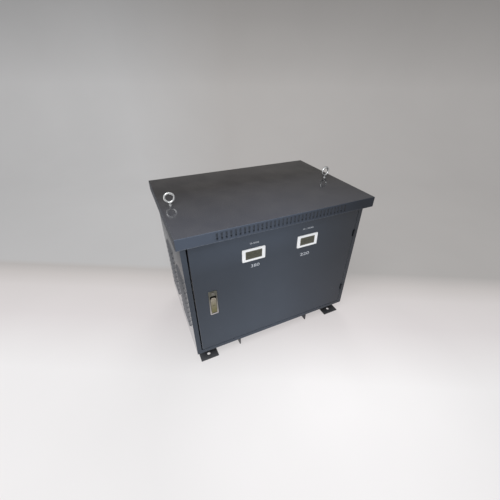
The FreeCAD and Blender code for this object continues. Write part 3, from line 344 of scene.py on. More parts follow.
def linear(red, green, blue):
    """A colour given as it looks on screen, 0 to 255, as the shader wants it."""
    def one(value):
        value /= 255
        return value / 12.92 if value <= 0.04045 else ((value + 0.055) / 1.055) ** 2.4
    return (one(red), one(green), one(blue), 1.0)


DUST_COLOUR = linear(150, 146, 140)


def start_material(name, **constants):
    """Material with one Principled shader; plain values go on its own sockets."""
    material = bpy.data.materials.new(name)
    material.use_nodes = True
    material.node_tree.nodes.clear()
    build = Shader(material.node_tree)
    surface = build.node("ShaderNodeBsdfPrincipled")
    build.feed(build.node("ShaderNodeOutputMaterial").inputs["Surface"],
               surface.outputs["BSDF"])
    for label, value in constants.items():
        surface.inputs[label.replace("_", " ")].default_value = value
    return material, build, surface.inputs


# Factors at both ends of a mask: a side's tone from its foot up, a painted light strongest at the
# foot, the mottled tone, and the tone, gloss and edges lightened by wear and highlight of a top
# face from the middle to the right, the tone there a painted shade; then the share of a top
# face's gloss that is left at the rear.
SIDE_LIGHT_TONE, MOTTLED_TONE = (2.0, 0.9), (0.96, 1.04)
TOP_SHADE_TONE, TOP_GLOSS, RUBBED_HIGHLIGHT_SHARE = (1.0, 0.4), (1.0, 0.75), (1.0, 0.3)
REAR_GLOSS = 0.35


def painted(name, colour, worn_and_highlit, roughness, top=None, side=None, top_gloss=0.0, side_gloss=0.0,
            side_rough=0.0, specular=0.5, coat_ior=1.8, left=1.0, right=1.0, low=1.0, high=1.0,
            start=0.0, slots=1.0, hoods=1.0, rub_and_highlight=0.6, dust=0.06, edge=1.2 * MM):
    """Coated sheet metal: peel, painted light and shade, dust on top faces, lighter edges.

    Top holds the rear and the front colour of faces that look up, a painted light and reflection
    paler at the front, and side the colour of faces that look sideways, a painted shade of the
    same coat. Left to start go to the painted light and shade. Slots and hoods are the tone's
    factors in the band of slots and on the louvres' hoods, painted shade there, and rub is how
    far the edges lightened by wear and a painted highlight show.
    """
    material, build, sockets = start_material(name, IOR=1.4, Specular_IOR_Level=specular,
                                              Coat_Roughness=0.1, Coat_IOR=coat_ior)
    coat = build.use(COAT)
    soft = build.use(EDGE, radius=edge)
    settled = build.use(DUST, amount=dust)["Dust"]
    facing = build.use(FACING)
    shading = build.use(PAINTED_LIGHT, left=left, right=right, low=low, high=high, start=start)

    # Painted light and shade: the cabinet-wide factors, sides lighter near their foot, darker
    # hoods and slot band.
    shade = build.slide(facing["Sideways"], shading["Light_factor"],
                        build.span(shading["Height"], 0.0, 0.6, *SIDE_LIGHT_TONE))
    shade = build.times(shade, build.slide(coat["Mottling"], *MOTTLED_TONE),
                        build.slide(shading["Slots"], 1.0, slots),
                        build.slide(build.times(shading["Hoods"], facing["Along"]), 1.0, hoods))
    tone = build.blend(facing["Sideways"], colour, side) if side else colour
    tone = build.scale_colour(tone, shade)
    # The top colours are painted light and reflection, paler at the front and darker to the
    # right.
    if top:
        upper = build.scale_colour(build.blend(shading["Front"], *top),
                                   build.slide(shading["Across"], *TOP_SHADE_TONE))
        tone = build.blend(facing["Up"], tone, upper)
    # Edges lightened by wear, on the lid mostly a painted highlight on the front edge, fading
    # right.
    scuffs_and_glints = build.noise(build.object_point(), 60.0, 5.0, 0.7)
    rubbed_and_highlit = build.times(soft["Edge"], build.span(scuffs_and_glints, 0.35, 0.7, 0.3, 1.0),
                         build.span(shading["Slots"], 0.0, 0.2, 1.0, 0.0),
                         build.slide(shading["Across"], *RUBBED_HIGHLIGHT_SHARE), rub_and_highlight)
    tone = build.blend(rubbed_and_highlit, tone, worn_and_highlit)
    build.feed(sockets["Base Color"], build.blend(settled, tone, DUST_COLOUR))

    gloss = build.slide(coat["Mottling"], roughness - 0.01, roughness + 0.01)
    for more in (build.times(coat["Smudge"], 0.02), build.times(facing["Sideways"], side_rough),
                 build.times(settled, 0.3)):
        gloss = build.math("ADD", gloss, more)
    build.feed(sockets["Roughness"], gloss)
    if side_gloss:
        lower = build.span(shading["Height"], 0.3, 0.9, side_gloss, 0.0)
        build.feed(sockets["Coat Weight"], build.times(
            facing["Sideways"], lower, build.slide(shading["Hoods"], 1.0, hoods)))
    if top_gloss:
        nearer = build.slide(shading["Front"], top_gloss * REAR_GLOSS, top_gloss)
        build.feed(sockets["Coat Weight"], build.times(
            facing["Up"], nearer, build.slide(shading["Across"], *TOP_GLOSS)))
    build.feed(sockets["Normal"], build.bump(coat["Height"], 0.02, 0.3 * MM, soft["Normal"]))
    return material


def brighter(colour, factor):
    """The colour with its three channels scaled, kept within 1."""
    return tuple(min(1.0, channel * factor) for channel in colour[:3]) + (1,)


def bare_metal(name, colour, dull, roughness, run=(1.0, 1.0, 0.05), lines=0.06,
               edge=0.5 * MM, spots=0.25, metallic=1.0, height_light=None, rim_highlight=None, outline=None):
    """Plated, cast or rolled metal: drawn lines, cloudy spots, brighter edges.

    Rise is the painted light and shade at the latch's lower end: its colour, and the heights
    above it that it fades out between. Rim is the colour of a painted highlight on the edges,
    strongest at the lower of those heights.
    Outline is a painted shade where the surface turns away from the eye, on the right half.
    """
    material, build, sockets = start_material(name, Metallic=metallic)
    drawn = build.use(BRUSH, run=run)
    soft = build.use(EDGE, radius=edge)
    cloud = build.span(build.noise(build.object_point(), 120.0, 5.0, 0.6), 0.35, 0.75)
    tone = build.blend(build.times(cloud, spots), colour, dull)
    shine = 0.5
    # Painted light and shade by height: the plate brighter low down, the handle darker at its
    # foot.
    if height_light:
        low_colour, low, high = height_light
        level = build.split(build.object_point())["Z"]
        up = build.span(level, LATCH_LOW + low * MM, LATCH_LOW + high * MM)
        tone = build.blend(up, low_colour, tone)
        shine = build.span(up, 0.0, 0.6, 1.0, 0.25)
    # Edges made brighter; on the latch a painted highlight, strongest low down.
    tone = build.blend(build.times(soft["Edge"], shine), tone, rim_highlight or brighter(colour, 1.35))
    # Painted shade along the outline, where the surface turns away, on the right half.
    if outline:
        turning = build.node("ShaderNodeLayerWeight").outputs["Facing"]
        turning = build.times(build.span(turning, 0.2, 0.55), build.use(PAINTED_LIGHT)["Across"])
        tone = build.blend(turning, tone, outline)
        sockets["Specular Tint"].default_value = outline
    build.feed(sockets["Base Color"], tone)
    build.feed(sockets["Roughness"], build.slide(cloud, roughness, roughness + 0.12))
    build.feed(sockets["Normal"], build.bump(drawn["Height"], lines, 0.2 * MM, soft["Normal"]))
    return material


def moulded(name, colour, shade, roughness, specks=500.0, relief=0.03):
    """Moulded plastic or rubber: fine spark texture and a slow change of tone."""
    material, build, sockets = start_material(name, IOR=1.48)
    point = build.object_point()
    soft = build.use(EDGE, radius=0.6 * MM)
    fine = build.noise(point, specks, 3.0)
    slow = build.span(build.noise(point, 15.0, 3.0), 0.3, 0.7)
    build.feed(sockets["Base Color"], build.blend(slow, colour, shade))
    build.feed(sockets["Roughness"], build.slide(slow, roughness, roughness + 0.08))
    build.feed(sockets["Normal"], build.bump(fine, relief, 0.2 * MM, soft["Normal"]))
    return material


def wound(name, colour, dark, turn):
    """Varnished tape over a winding."""
    material, build, sockets = start_material(name, IOR=1.5, Coat_Weight=0.35,
                                              Coat_Roughness=0.25)
    tape = build.use(TAPE, turn=turn)
    soft = build.use(EDGE, radius=2 * MM)
    tone = build.blend(tape["Shade"], colour, brighter(colour, 0.72))
    tone = build.blend(tape["Lap"], tone, dark)
    build.feed(sockets["Base Color"], tone)
    build.feed(sockets["Roughness"], build.slide(tape["Shade"], 0.42, 0.6))
    build.feed(sockets["Normal"], build.bump(tape["Height"], 0.5, 0.6 * MM, soft["Normal"]))
    return material


def stacked(name):
    """Core of varnished electrical sheet."""
    material, build, sockets = start_material(name, Metallic=0.75)
    sheets = build.use(STACK, sheet=0.9 * MM)
    cloud = build.span(build.noise(build.object_point(), 9.0, 5.0, 0.6), 0.3, 0.75)
    tone = build.blend(sheets["Shade"], linear(38, 36, 36), linear(118, 118, 122))
    tone = build.blend(build.times(cloud, 0.35), tone, linear(98, 74, 52))
    build.feed(sockets["Base Color"], tone)
    build.feed(sockets["Roughness"], build.slide(cloud, 0.4, 0.62))
    build.feed(sockets["Normal"], build.bump(sheets["Height"], 0.6, 0.3 * MM))
    return material


BOARD_WEAVE = 2600.0


def laminate(name, colour, dark):
    """Glass-fibre board: faint weave under resin."""
    material, build, sockets = start_material(name, IOR=1.52)
    warp, depth, weft = [build.math("SINE", build.times(axis, BOARD_WEAVE))
                         for axis in build.split(build.object_point())]
    weave = build.math("ADD", build.times(warp, weft), depth)
    slow = build.noise(build.object_point(), 18.0, 4.0)
    amount = build.times(build.span(weave, -2.0, 2.0), slow)
    soft = build.use(EDGE, radius=0.8 * MM)
    build.feed(sockets["Base Color"], build.blend(amount, colour, dark))
    build.feed(sockets["Roughness"], build.span(slow, 0.3, 0.7, 0.35, 0.5))
    build.feed(sockets["Normal"], build.bump(weave, 0.08, 0.1 * MM, soft["Normal"]))
    return material


def display(name):
    """Dark display window: olive depth under a glossy front."""
    material, build, sockets = start_material(name, IOR=1.5, Coat_Weight=0.6,
                                              Coat_Roughness=0.05)
    point = build.object_point()
    slow = build.span(build.noise(point, 40.0, 2.0), 0.3, 0.7)
    build.feed(sockets["Base Color"], build.blend(slow, linear(57, 57, 39),
                                                  linear(66, 65, 45)))
    build.feed(sockets["Roughness"], build.span(build.noise(point, 300.0, 3.0), 0.3, 0.7,
                                                0.22, 0.34))
    return material


def ink(name, colour, faded):
    """Printed ink with a slightly uneven edge and density."""
    material, build, sockets = start_material(name, IOR=1.45)
    density = build.span(build.noise(build.object_point(), 900.0, 4.0, 0.7), 0.3, 0.6)
    build.feed(sockets["Base Color"], build.blend(density, faded, colour))
    build.feed(sockets["Roughness"], build.slide(density, 0.6, 0.45))
    return material


# Painted light and shade in the coats below: the left, right, low, high, start, hoods and slots
# factors, the side and top colours, and the lid's pale worn colour, mostly a painted highlight.
FRONT_COAT = painted("blue_grey_coat", linear(54, 62, 73), linear(112, 118, 128), 0.25,
                     side=linear(58, 61, 67), side_gloss=1.0, side_rough=0.2, left=0.76,
                     right=0.42, low=1.35, high=1.8, hoods=0.55)
LID_COAT = painted("lid_coat", linear(77, 85, 98), linear(196, 202, 210), 0.15,
                   top=(linear(26, 24, 25), linear(60, 62, 70)), top_gloss=0.8,
                   side=linear(68, 70, 75), side_rough=0.4, specular=0.2, coat_ior=2.2,
                   right=0.22, start=-0.14, slots=0.9, rub_and_highlight=1.0, edge=2.5 * MM)
BASE_COAT = painted("black_base_coat", linear(54, 55, 58), linear(90, 92, 96), 0.4,
                    left=1.8, dust=0.12)
HINGE_COAT = painted("hinge_black_coat", linear(26, 28, 33), linear(84, 86, 90), 0.35,
                     dust=0.0, edge=0.5 * MM)
PRIMER = painted("grey_primer", linear(86, 92, 98), linear(140, 142, 144), 0.5, dust=0.3)
ZINC = bare_metal("bright_zinc", linear(206, 206, 208), linear(150, 152, 158), 0.2)
# The eye's dark outline colour is a painted shade.
EYE_ZINC = bare_metal("forged_zinc", linear(240, 240, 238), linear(206, 208, 212), 0.24,
                      lines=0.03, spots=0.3, metallic=0.85, outline=linear(50, 49, 48))
# The plate's bright low end and rim and the handle's darker foot and pale rim are painted light
# and shade.
CASTING = bare_metal("cast_zinc_plate", linear(104, 103, 94), linear(76, 75, 68), 0.3,
                     spots=0.5, lines=0.04, edge=2 * MM,
                     height_light=(linear(190, 184, 182), 1.5, 91.5), rim_highlight=linear(250, 247, 244))
HANDLE = bare_metal("warm_plated_handle", linear(162, 155, 143), linear(126, 120, 102), 0.3,
                    spots=0.5, lines=0.05, edge=1 * MM,
                    height_light=(linear(122, 118, 88), 26.5, 86.5), rim_highlight=linear(188, 182, 168))
LOCK_FACE = bare_metal("lock_face_plating", linear(132, 130, 124), linear(96, 94, 88), 0.3,
                       lines=0.02, spots=0.3)
COPPER = bare_metal("rolled_copper", linear(196, 120, 84), linear(128, 74, 52), 0.28,
                    spots=0.55)
BRASS = bare_metal("turned_brass", linear(200, 166, 92), linear(150, 118, 62), 0.22,
                   run=(0.05, 0.05, 1.0), spots=0.4)
BEZEL = moulded("white_moulding", linear(246, 247, 248), linear(240, 241, 242), 0.34)
CLIP = moulded("black_moulding", linear(34, 34, 35), linear(26, 26, 27), 0.45)
RUBBER = moulded("black_rubber", linear(30, 30, 31), linear(22, 22, 23), 0.7, specks=260.0,
                 relief=0.08)
FOAM = moulded("gasket_foam", linear(40, 40, 42), linear(28, 28, 30), 0.92, specks=700.0,
               relief=0.35)
LOW_TAPE = wound("amber_tape", linear(176, 130, 62), linear(92, 60, 26), 14 * MM)
HIGH_TAPE = wound("brown_tape", linear(142, 82, 46), linear(70, 38, 22), 11 * MM)
SHEETS = stacked("core_sheets")
BOARD = laminate("board_laminate", linear(186, 164, 108), linear(128, 106, 62))
WINDOW = display("display_window")
WHITE_INK = ink("white_panel_ink", linear(222, 226, 232), linear(170, 176, 184))
DARK_INK = ink("display_segments", linear(34, 36, 28), linear(50, 52, 40))

FINISHES = {
    FRONT_COAT: ("left_side_panel", "right_side_panel", "floor_pan", "top_front_rail",
                 "top_rear_rail", "rear_panel", "door_panel", "door_stiffener"),
    LID_COAT: ("lid",),
    BASE_COAT: ("base_rail_left", "base_rail_right", "cross_rib_left", "cross_rib_right"),
    HINGE_COAT: ("hinge_frame_leaves", "hinge_door_leaves"),
    PRIMER: ("lifting_bar", "lower_clamp_front", "lower_clamp_rear", "upper_clamp_front",
             "upper_clamp_rear"),
    ZINC: ("eye_nuts", "clamp_bolts", "handle_pin", "lock_cam"),
    EYE_ZINC: ("eye_bolts",),
    CASTING: ("latch_housing",),
    HANDLE: ("latch_handle",),
    LOCK_FACE: ("lock_cylinder",),
    COPPER: ("primary_leads", "secondary_leads"),
    BRASS: ("terminal_studs",),
    BEZEL: ("left_meter_case", "right_meter_case"),
    WINDOW: ("left_meter_screen", "right_meter_screen"),
    CLIP: ("meter_clips",),
    RUBBER: ("cable_edge_strip", "rubber_pads"),
    FOAM: ("door_gasket",),
    LOW_TAPE: ("low_voltage_coil_a", "low_voltage_coil_b", "low_voltage_coil_c"),
    HIGH_TAPE: ("high_voltage_coil_a", "high_voltage_coil_b", "high_voltage_coil_c"),
    SHEETS: ("core",),
    BOARD: ("duct_spacers", "coil_blocks", "primary_terminal_board",
            "secondary_terminal_board"),
}
for finish, names in FINISHES.items():
    for name in names:
        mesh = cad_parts[name].data
        mesh.materials.clear()
        mesh.materials.append(finish)


# Mesh building. A turned shape's profile is a list of (radius, height) in millimetres.

LEVEL, STANDING = (0.0, 0.0, 0.0), (math.radians(90), 0.0, 0.0)
STAND = Matrix.Rotation(math.radians(90), 4, "X")
LOOK_BACK = Matrix.Rotation(math.radians(-90), 4, "X")


def add_object(name, data):
    """A new object at the scene's origin."""
    made = bpy.data.objects.new(name, data)
    bpy.context.scene.collection.objects.link(made)
    return made


def new_piece(name, mesh, finish, body):
    """Put a finished mesh in the scene and let it ride on a CAD body."""
    mesh.materials.append(finish)
    piece = add_object(name, mesh)
    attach(piece, body)
    return piece


def to_mesh(name, shape, smooth=True):
    shape.normal_update()
    mesh = bpy.data.meshes.new(name)
    shape.to_mesh(mesh)
    shape.free()
    for face in mesh.polygons:
        face.use_smooth = smooth
    return mesh


def join_meshes(name, meshes):
    whole = bmesh.new()
    for part in meshes:
        whole.from_mesh(part)
        bpy.data.meshes.remove(part)
    return to_mesh(name, whole, smooth=False)


def baked(holder):
    """The finished mesh of an object that is removed afterwards."""
    evaluated = holder.evaluated_get(bpy.context.evaluated_depsgraph_get())
    mesh = bpy.data.meshes.new_from_object(evaluated)
    holder.modifiers.clear()
    bpy.data.objects.remove(holder)
    return mesh


def circle(radius, step, steps):
    """Both coordinates of one step round a circle."""
    angle = 2 * math.pi * step / steps
    return radius * math.cos(angle), radius * math.sin(angle)


def turned(shape, profile, place=Matrix(), steps=40):
    """Lathe a profile about its own Z axis, closed at its poles, and place it."""
    rings = []
    for radius, height in profile:
        spots = [Vector((*circle(radius * MM, step, steps), height * MM))
                 for step in range(steps if radius else 1)]
        rings.append([shape.verts.new(place @ spot) for spot in spots])
    for low, high in zip(rings, rings[1:]):
        for step in range(steps):
            after = (step + 1) % steps
            corners = (low[step % len(low)], low[after % len(low)],
                       high[after % len(high)], high[step % len(high)])
            shape.faces.new(list(dict.fromkeys(corners)))


def ring(shape, major, minor, place):
    """Torus with its own axis along Z before it is placed."""
    steps, sides = 56, 20
    rows = []
    for step in range(steps):
        row = []
        for side in range(sides):
            out, up = circle(minor, side, sides)
            row.append(shape.verts.new(place @ Vector((*circle(major + out, step, steps), up))))
        rows.append(row)
    for step in range(steps):
        here, there = rows[step], rows[(step + 1) % steps]
        for side in range(sides):
            after = (side + 1) % sides
            shape.faces.new((here[side], there[side], there[after], here[after]))


# Lifting eyes: the ring, its blended neck, the collar and the thread below it.

EYE_RADIUS, EYE_WIRE, EYE_LIFT = 18.1 * MM, 4.1 * MM, 31 * MM
EYE_NECK = [(0, 0), (6.2, 0), (6.8, 0.5), (6.6, 1.6), (5.8, 2.6), (5.6, 5), (6.2, 8), (7.6, 11),
            (8.8, 13), (0, 15)]
EYE_TURN = math.radians(6)
REMESH_CELL = 0.75 * MM


def blended_eye():
    """Ring and neck merged by a fine remesh, so that the forging has no hard joint."""
    shape = bmesh.new()
    ring(shape, EYE_RADIUS, EYE_WIRE, Matrix.Translation((0, 0, EYE_LIFT)) @ STAND)
    turned(shape, EYE_NECK)
    raw = add_object("eye_raw", to_mesh("eye_raw", shape))
    cells = raw.modifiers.new("cells", "REMESH")
    cells.mode = "VOXEL"
    cells.voxel_size = REMESH_CELL
    cells.use_smooth_shade = True
    even = raw.modifiers.new("even", "SMOOTH")
    even.factor = 0.5
    even.iterations = 4
    return baked(raw)


def thread_profile(low, high, radius, pitch, depth):
    """Profile of a thread seen as close rings between two heights, in millimetres."""
    points = [(0, low), (radius - depth, low)]
    level = low
    while level + pitch < high:
        points += [(radius, level + pitch * 0.4), (radius, level + pitch * 0.55),
                   (radius - depth, level + pitch * 0.95)]
        level += pitch
    return points + [(radius - depth, high), (0, high)]


def make_eyes():
    """Both eyes over their nuts, each turned a little, with an M10 thread down to the nut."""
    whole = bmesh.new()
    thread = thread_profile(-26, 1, 5, 1.5, 0.7)
    for side in (-1, 1):
        spot = node_point("eye_nuts", side=side)
        foot = Matrix.Translation((spot.x, spot.y, LID_TOP))
        part = blended_eye()
        part.transform(foot @ Matrix.Rotation(side * EYE_TURN, 4, "Z"))
        whole.from_mesh(part)
        bpy.data.meshes.remove(part)
        turned(whole, thread, foot, steps=32)
    piece = new_piece("lifting_eyes", to_mesh("lifting_eyes", whole), EYE_ZINC, "cabinet")
    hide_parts("eye_bolts")


make_eyes()


# Display digits: one seven-segment figure, set out by a tree of Geometry Nodes.

FIGURE_HEIGHT, FIGURE_WIDTH, FIGURE_BAR, FIGURE_DEPTH = 19 * MM, 9.5 * MM, 1.9 * MM, 0.12 * MM
FIGURES, ROW_WIDTH = 4, 45 * MM


def segment_figure(height, width, thick, depth):
    """Seven bars of a figure eight, each with pointed ends, facing the front."""
    shape = bmesh.new()
    half_w, half_h = width / 2, height / 2
    gap = thick * 0.12

    def bar(u0, v0, u1, v1):
        along = Vector((u1 - u0, 0, v1 - v0)).normalized()
        side = Vector((-along.z, 0, along.x)) * thick / 2
        start = Vector((u0, 0, v0)) + along * gap
        end = Vector((u1, 0, v1)) - along * gap
        tip = thick / 2
        outline = [start, start + along * tip + side, end - along * tip + side, end,
                   end - along * tip - side, start + along * tip - side]
        front = [shape.verts.new(corner - Vector((0, depth, 0))) for corner in outline]
        back = [shape.verts.new(corner) for corner in outline]
        shape.faces.new(front)
        shape.faces.new(list(reversed(back)))
        for index in range(6):
            after = (index + 1) % 6
            shape.faces.new((front[after], front[index], back[index], back[after]))

    for level in (-half_h, 0, half_h):
        bar(-half_w, level, half_w, level)
    for edge in (-half_w, half_w):
        bar(edge, -half_h, edge, 0)
        bar(edge, 0, edge, half_h)
    bmesh.ops.recalc_face_normals(shape, faces=shape.faces)
    return to_mesh("figure", shape, smooth=False)


class Tree:
    """A Geometry Nodes tree with named inputs that ends in one geometry output."""

    def __init__(self, name, inputs):
        self.tree = bpy.data.node_groups.new(name, "GeometryNodeTree")
        self.sockets = {}
        for label, kind, value in inputs:
            socket = self.tree.interface.new_socket(label, in_out="INPUT", socket_type=kind)
            if value is not None:
                socket.default_value = value
            self.sockets[label] = socket.identifier
        self.tree.interface.new_socket("Geometry", in_out="OUTPUT",
                                       socket_type="NodeSocketGeometry")
        self.start = self.node("NodeGroupInput").outputs
        self.end = self.node("NodeGroupOutput").inputs

    def node(self, kind):
        return self.tree.nodes.new(kind)

    def link(self, output, socket):
        self.tree.links.new(output, socket)

    def finish(self, instances, material):
        """Realize the instances, give them their material and put them out."""
        real = self.node("GeometryNodeRealizeInstances")
        paint = self.node("GeometryNodeSetMaterial")
        paint.inputs["Material"].default_value = material
        self.link(instances, real.inputs[0])
        self.link(real.outputs[0], paint.inputs["Geometry"])
        self.link(paint.outputs[0], self.end["Geometry"])

    def run(self, name, values):
        """Run the tree on an empty mesh and return the result as a plain mesh."""
        holder = add_object(name + "_holder", bpy.data.meshes.new(name + "_holder"))
        modifier = holder.modifiers.new("tree", "NODES")
        modifier.node_group = self.tree
        for label, value in values.items():
            modifier[self.sockets[label]] = value
        return baked(holder)


COUNT, OBJECT = "NodeSocketInt", "NodeSocketObject"


def grid_tree(name, material):
    """Sets copies of a part at the points of a grid, which is turned and then moved."""
    tree = Tree(name, [("Part", OBJECT, None), ("Columns", COUNT, 3), ("Rows", COUNT, 1),
                       ("Width", NUMBER, 0.1), ("Height", NUMBER, 0.1),
                       ("Centre", VECTOR, (0.0, 0.0, 0.0)), ("Turn", VECTOR, STANDING)])
    grid = tree.node("GeometryNodeMeshGrid")
    for source, target in (("Width", "Size X"), ("Height", "Size Y"),
                           ("Columns", "Vertices X"), ("Rows", "Vertices Y")):
        tree.link(tree.start[source], grid.inputs[target])
    lift = tree.node("GeometryNodeTransform")
    tree.link(grid.outputs["Mesh"], lift.inputs["Geometry"])
    tree.link(tree.start["Centre"], lift.inputs["Translation"])
    tree.link(tree.start["Turn"], lift.inputs["Rotation"])
    part = tree.node("GeometryNodeObjectInfo")
    tree.link(tree.start["Part"], part.inputs["Object"])
    copies = tree.node("GeometryNodeInstanceOnPoints")
    tree.link(lift.outputs["Geometry"], copies.inputs["Points"])
    tree.link(part.outputs["Geometry"], copies.inputs["Instance"])
    tree.finish(copies.outputs["Instances"], material)
    return tree


def set_out(name, part, material, turn, grids):
    """Copies of a part at the points of several grids, as one mesh."""
    source = add_object(name + "_part", part)
    tree = grid_tree(name, material)
    meshes = [tree.run(name, {"Part": source, "Columns": columns, "Rows": rows,
                              "Width": width, "Height": height, "Centre": tuple(centre),
                              "Turn": turn})
              for columns, rows, width, height, centre in grids]
    bpy.data.objects.remove(source)
    return join_meshes(name, meshes)


def make_display_digits():
    """A row of unlit figures on each meter's screen."""
    figure = segment_figure(FIGURE_HEIGHT, FIGURE_WIDTH, FIGURE_BAR, FIGURE_DEPTH)
    mesh = set_out("display_digits", figure, DARK_INK, STANDING,
                   [(FIGURES, 1, ROW_WIDTH, 0.0, meter) for meter in (LEFT_METER, RIGHT_METER)])
    new_piece("display_digits", mesh, DARK_INK, "door")


make_display_digits()


# Fasteners: hexagon screws with a flange, and the brass terminals with their threads.

SCREW_FLANGE = [(0, 0), (6.7, 0), (6.9, 0.3), (6.5, 1), (5.2, 1.5), (0, 1.5)]
SCREW_HEAD = [(0, 1.2), (5.3, 1.2), (5.5, 1.6), (5.5, 4.4), (4.9, 5), (3.4, 5), (3.1, 4.7),
              (0, 4.7)]
SCREW_INSET, SCREW_TOP_INSET = 13 * MM, 16 * MM
WASHER = [(0, 0), (7.2, 0), (7.4, 0.2), (7.4, 1), (7.2, 1.2), (0, 1.2)]
TERMINAL_NUT = [(0, 0), (6.9, 0), (7.4, 0.5), (7.4, 4.8), (6.9, 5.3), (0, 5.3)]
NUT_SEATS = (1.2, 7.0)
PHASE_PITCH, BOARD_PITCH = 220 * MM, 188 * MM


def flange_screw():
    """Hexagon screw head on a round flange, its seat at the origin, looking to the back."""
    shape = bmesh.new()
    turned(shape, SCREW_FLANGE, LOOK_BACK, steps=20)
    turned(shape, SCREW_HEAD, LOOK_BACK, steps=6)
    return to_mesh("flange_screw", shape, smooth=False)


def terminal():
    """Threaded M8 stud with washer, clamping nut and a second nut above it."""
    shape = bmesh.new()
    turned(shape, thread_profile(0.2, 30, 4, 1.25, 0.6), steps=16)
    turned(shape, WASHER, steps=20)
    for seat in NUT_SEATS:
        turned(shape, [(radius, height + seat) for radius, height in TERMINAL_NUT], steps=6)
    return to_mesh("terminal", shape, smooth=False)


def make_rear_screws():
    """Screws round the rear panel, through it into the flanges of sides, floor and rail."""
    low, high = node_box("rear_panel")
    width = high.x - low.x - 2 * SCREW_INSET
    height = high.z - low.z - SCREW_INSET - SCREW_TOP_INSET
    middle = (0.0, high.y, low.z + SCREW_INSET + height / 2)
    mesh = set_out("rear_panel_screws", flange_screw(), ZINC, STANDING,
                   [(5, 2, width, height, middle), (2, 3, width, height / 2, middle)])
    new_piece("rear_panel_screws", mesh, ZINC, "cabinet")


def make_terminals():
    """Three terminals on each of the two boards."""
    mesh = set_out("terminals", terminal(), BRASS, LEVEL,
                   [(3, 2, 2 * PHASE_PITCH, BOARD_PITCH, node_point("terminal_studs", z=0))])
    piece = new_piece("terminals", mesh, BRASS, "cabinet")
    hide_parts("terminal_studs")


make_rear_screws()
make_terminals()


# Panel marks: plain numbers printed in white above and below each meter.

# Text, meter, then the middle's place right of and above the meter's, and width and height.
MARKS = [("0-500", LEFT_METER, 3.3, 50.5, 37, 7), ("380", LEFT_METER, 7.3, -57, 38, 14),
         ("0-300", RIGHT_METER, -1.2, 57.5, 50, 6.5), ("220", RIGHT_METER, -3.7, -69, 46, 14.5)]
INK_LIFT = 0.06 * MM


def number_mark(text, meter, right, above, width, height):
    """A short number as flat printed ink on the door's face, fitted to a width and height."""
    curve = bpy.data.curves.new("mark", "FONT")
    curve.body = text
    curve.extrude = 0.05
    curve.offset = -0.004
    mesh = baked(add_object("mark", curve))
    low, high = [Vector([pick(vertex.co[axis] for vertex in mesh.vertices) for axis in (0, 1)])
                 for pick in (min, max)]
    fit = Matrix.Diagonal((width * MM / (high.x - low.x), height * MM / (high.y - low.y), MM, 1))
    place = Matrix.Translation((meter.x + right * MM, DOOR_FRONT - INK_LIFT,
                                meter.z + above * MM))
    centred = Matrix.Translation((-(low.x + high.x) / 2, -(low.y + high.y) / 2, 0))
    mesh.transform(place @ STAND @ fit @ centred)
    return mesh


def make_panel_marks():
    mesh = join_meshes("panel_marks", [number_mark(*mark) for mark in MARKS])
    new_piece("panel_marks", mesh, WHITE_INK, "door")


make_panel_marks()


# Camera at the photograph's place, floor, backdrop and lamps.

# Where the camera stood and how it was turned, its lens, and its directions on the floor.
CAMERA_PLACE = Vector((-0.4984, -1.0613, 1.1572))
TILT, ROLL, PAN = (math.radians(angle) for angle in (55.72, -0.673, -25.379))
FILM_WIDTH, LENS = 36.0, 19.913
SHIFT_RIGHT, SHIFT_UP = -0.01622, 0.0019
ACROSS_VIEW = Vector((math.cos(PAN), math.sin(PAN), 0.0))
AWAY = Vector((-math.sin(PAN), math.cos(PAN), 0.0))


def set_camera():
    data = bpy.data.cameras.new("camera")
    data.sensor_width = FILM_WIDTH
    data.lens = LENS
    data.shift_x, data.shift_y = SHIFT_RIGHT, SHIFT_UP
    data.clip_start = 20 * MM
    camera = add_object("camera", data)
    turn = Euler((TILT, ROLL, PAN)).to_matrix().to_4x4()
    camera.matrix_world = Matrix.Translation(CAMERA_PLACE) @ turn
    bpy.context.scene.camera = camera


# The floor's tones, a painted light fading by how far a spot lies beyond the object, nearest
# first, the wall's tones, painted lighter at the left, the middle of a painted patch of light,
# and the share of the backdrop's brightness that stays even.
BEYOND = Vector((0.473, 0.881, 0.0))
FLOOR_TONES = [(-0.48, linear(231, 229, 229)), (-0.15, linear(213, 208, 208)),
               (0.06, linear(207, 202, 201)), (0.18, linear(194, 189, 187)),
               (0.26, linear(180, 176, 174))]
WALL_STARTS, WALL_FULL = 0.26, 0.31
LEFT_WALL, RIGHT_WALL = linear(188, 187, 187), linear(174, 171, 169)
PAINTED_LIGHT_POOL = (50 * MM, -620 * MM, 0.0)
EVEN_SHARE = 0.7


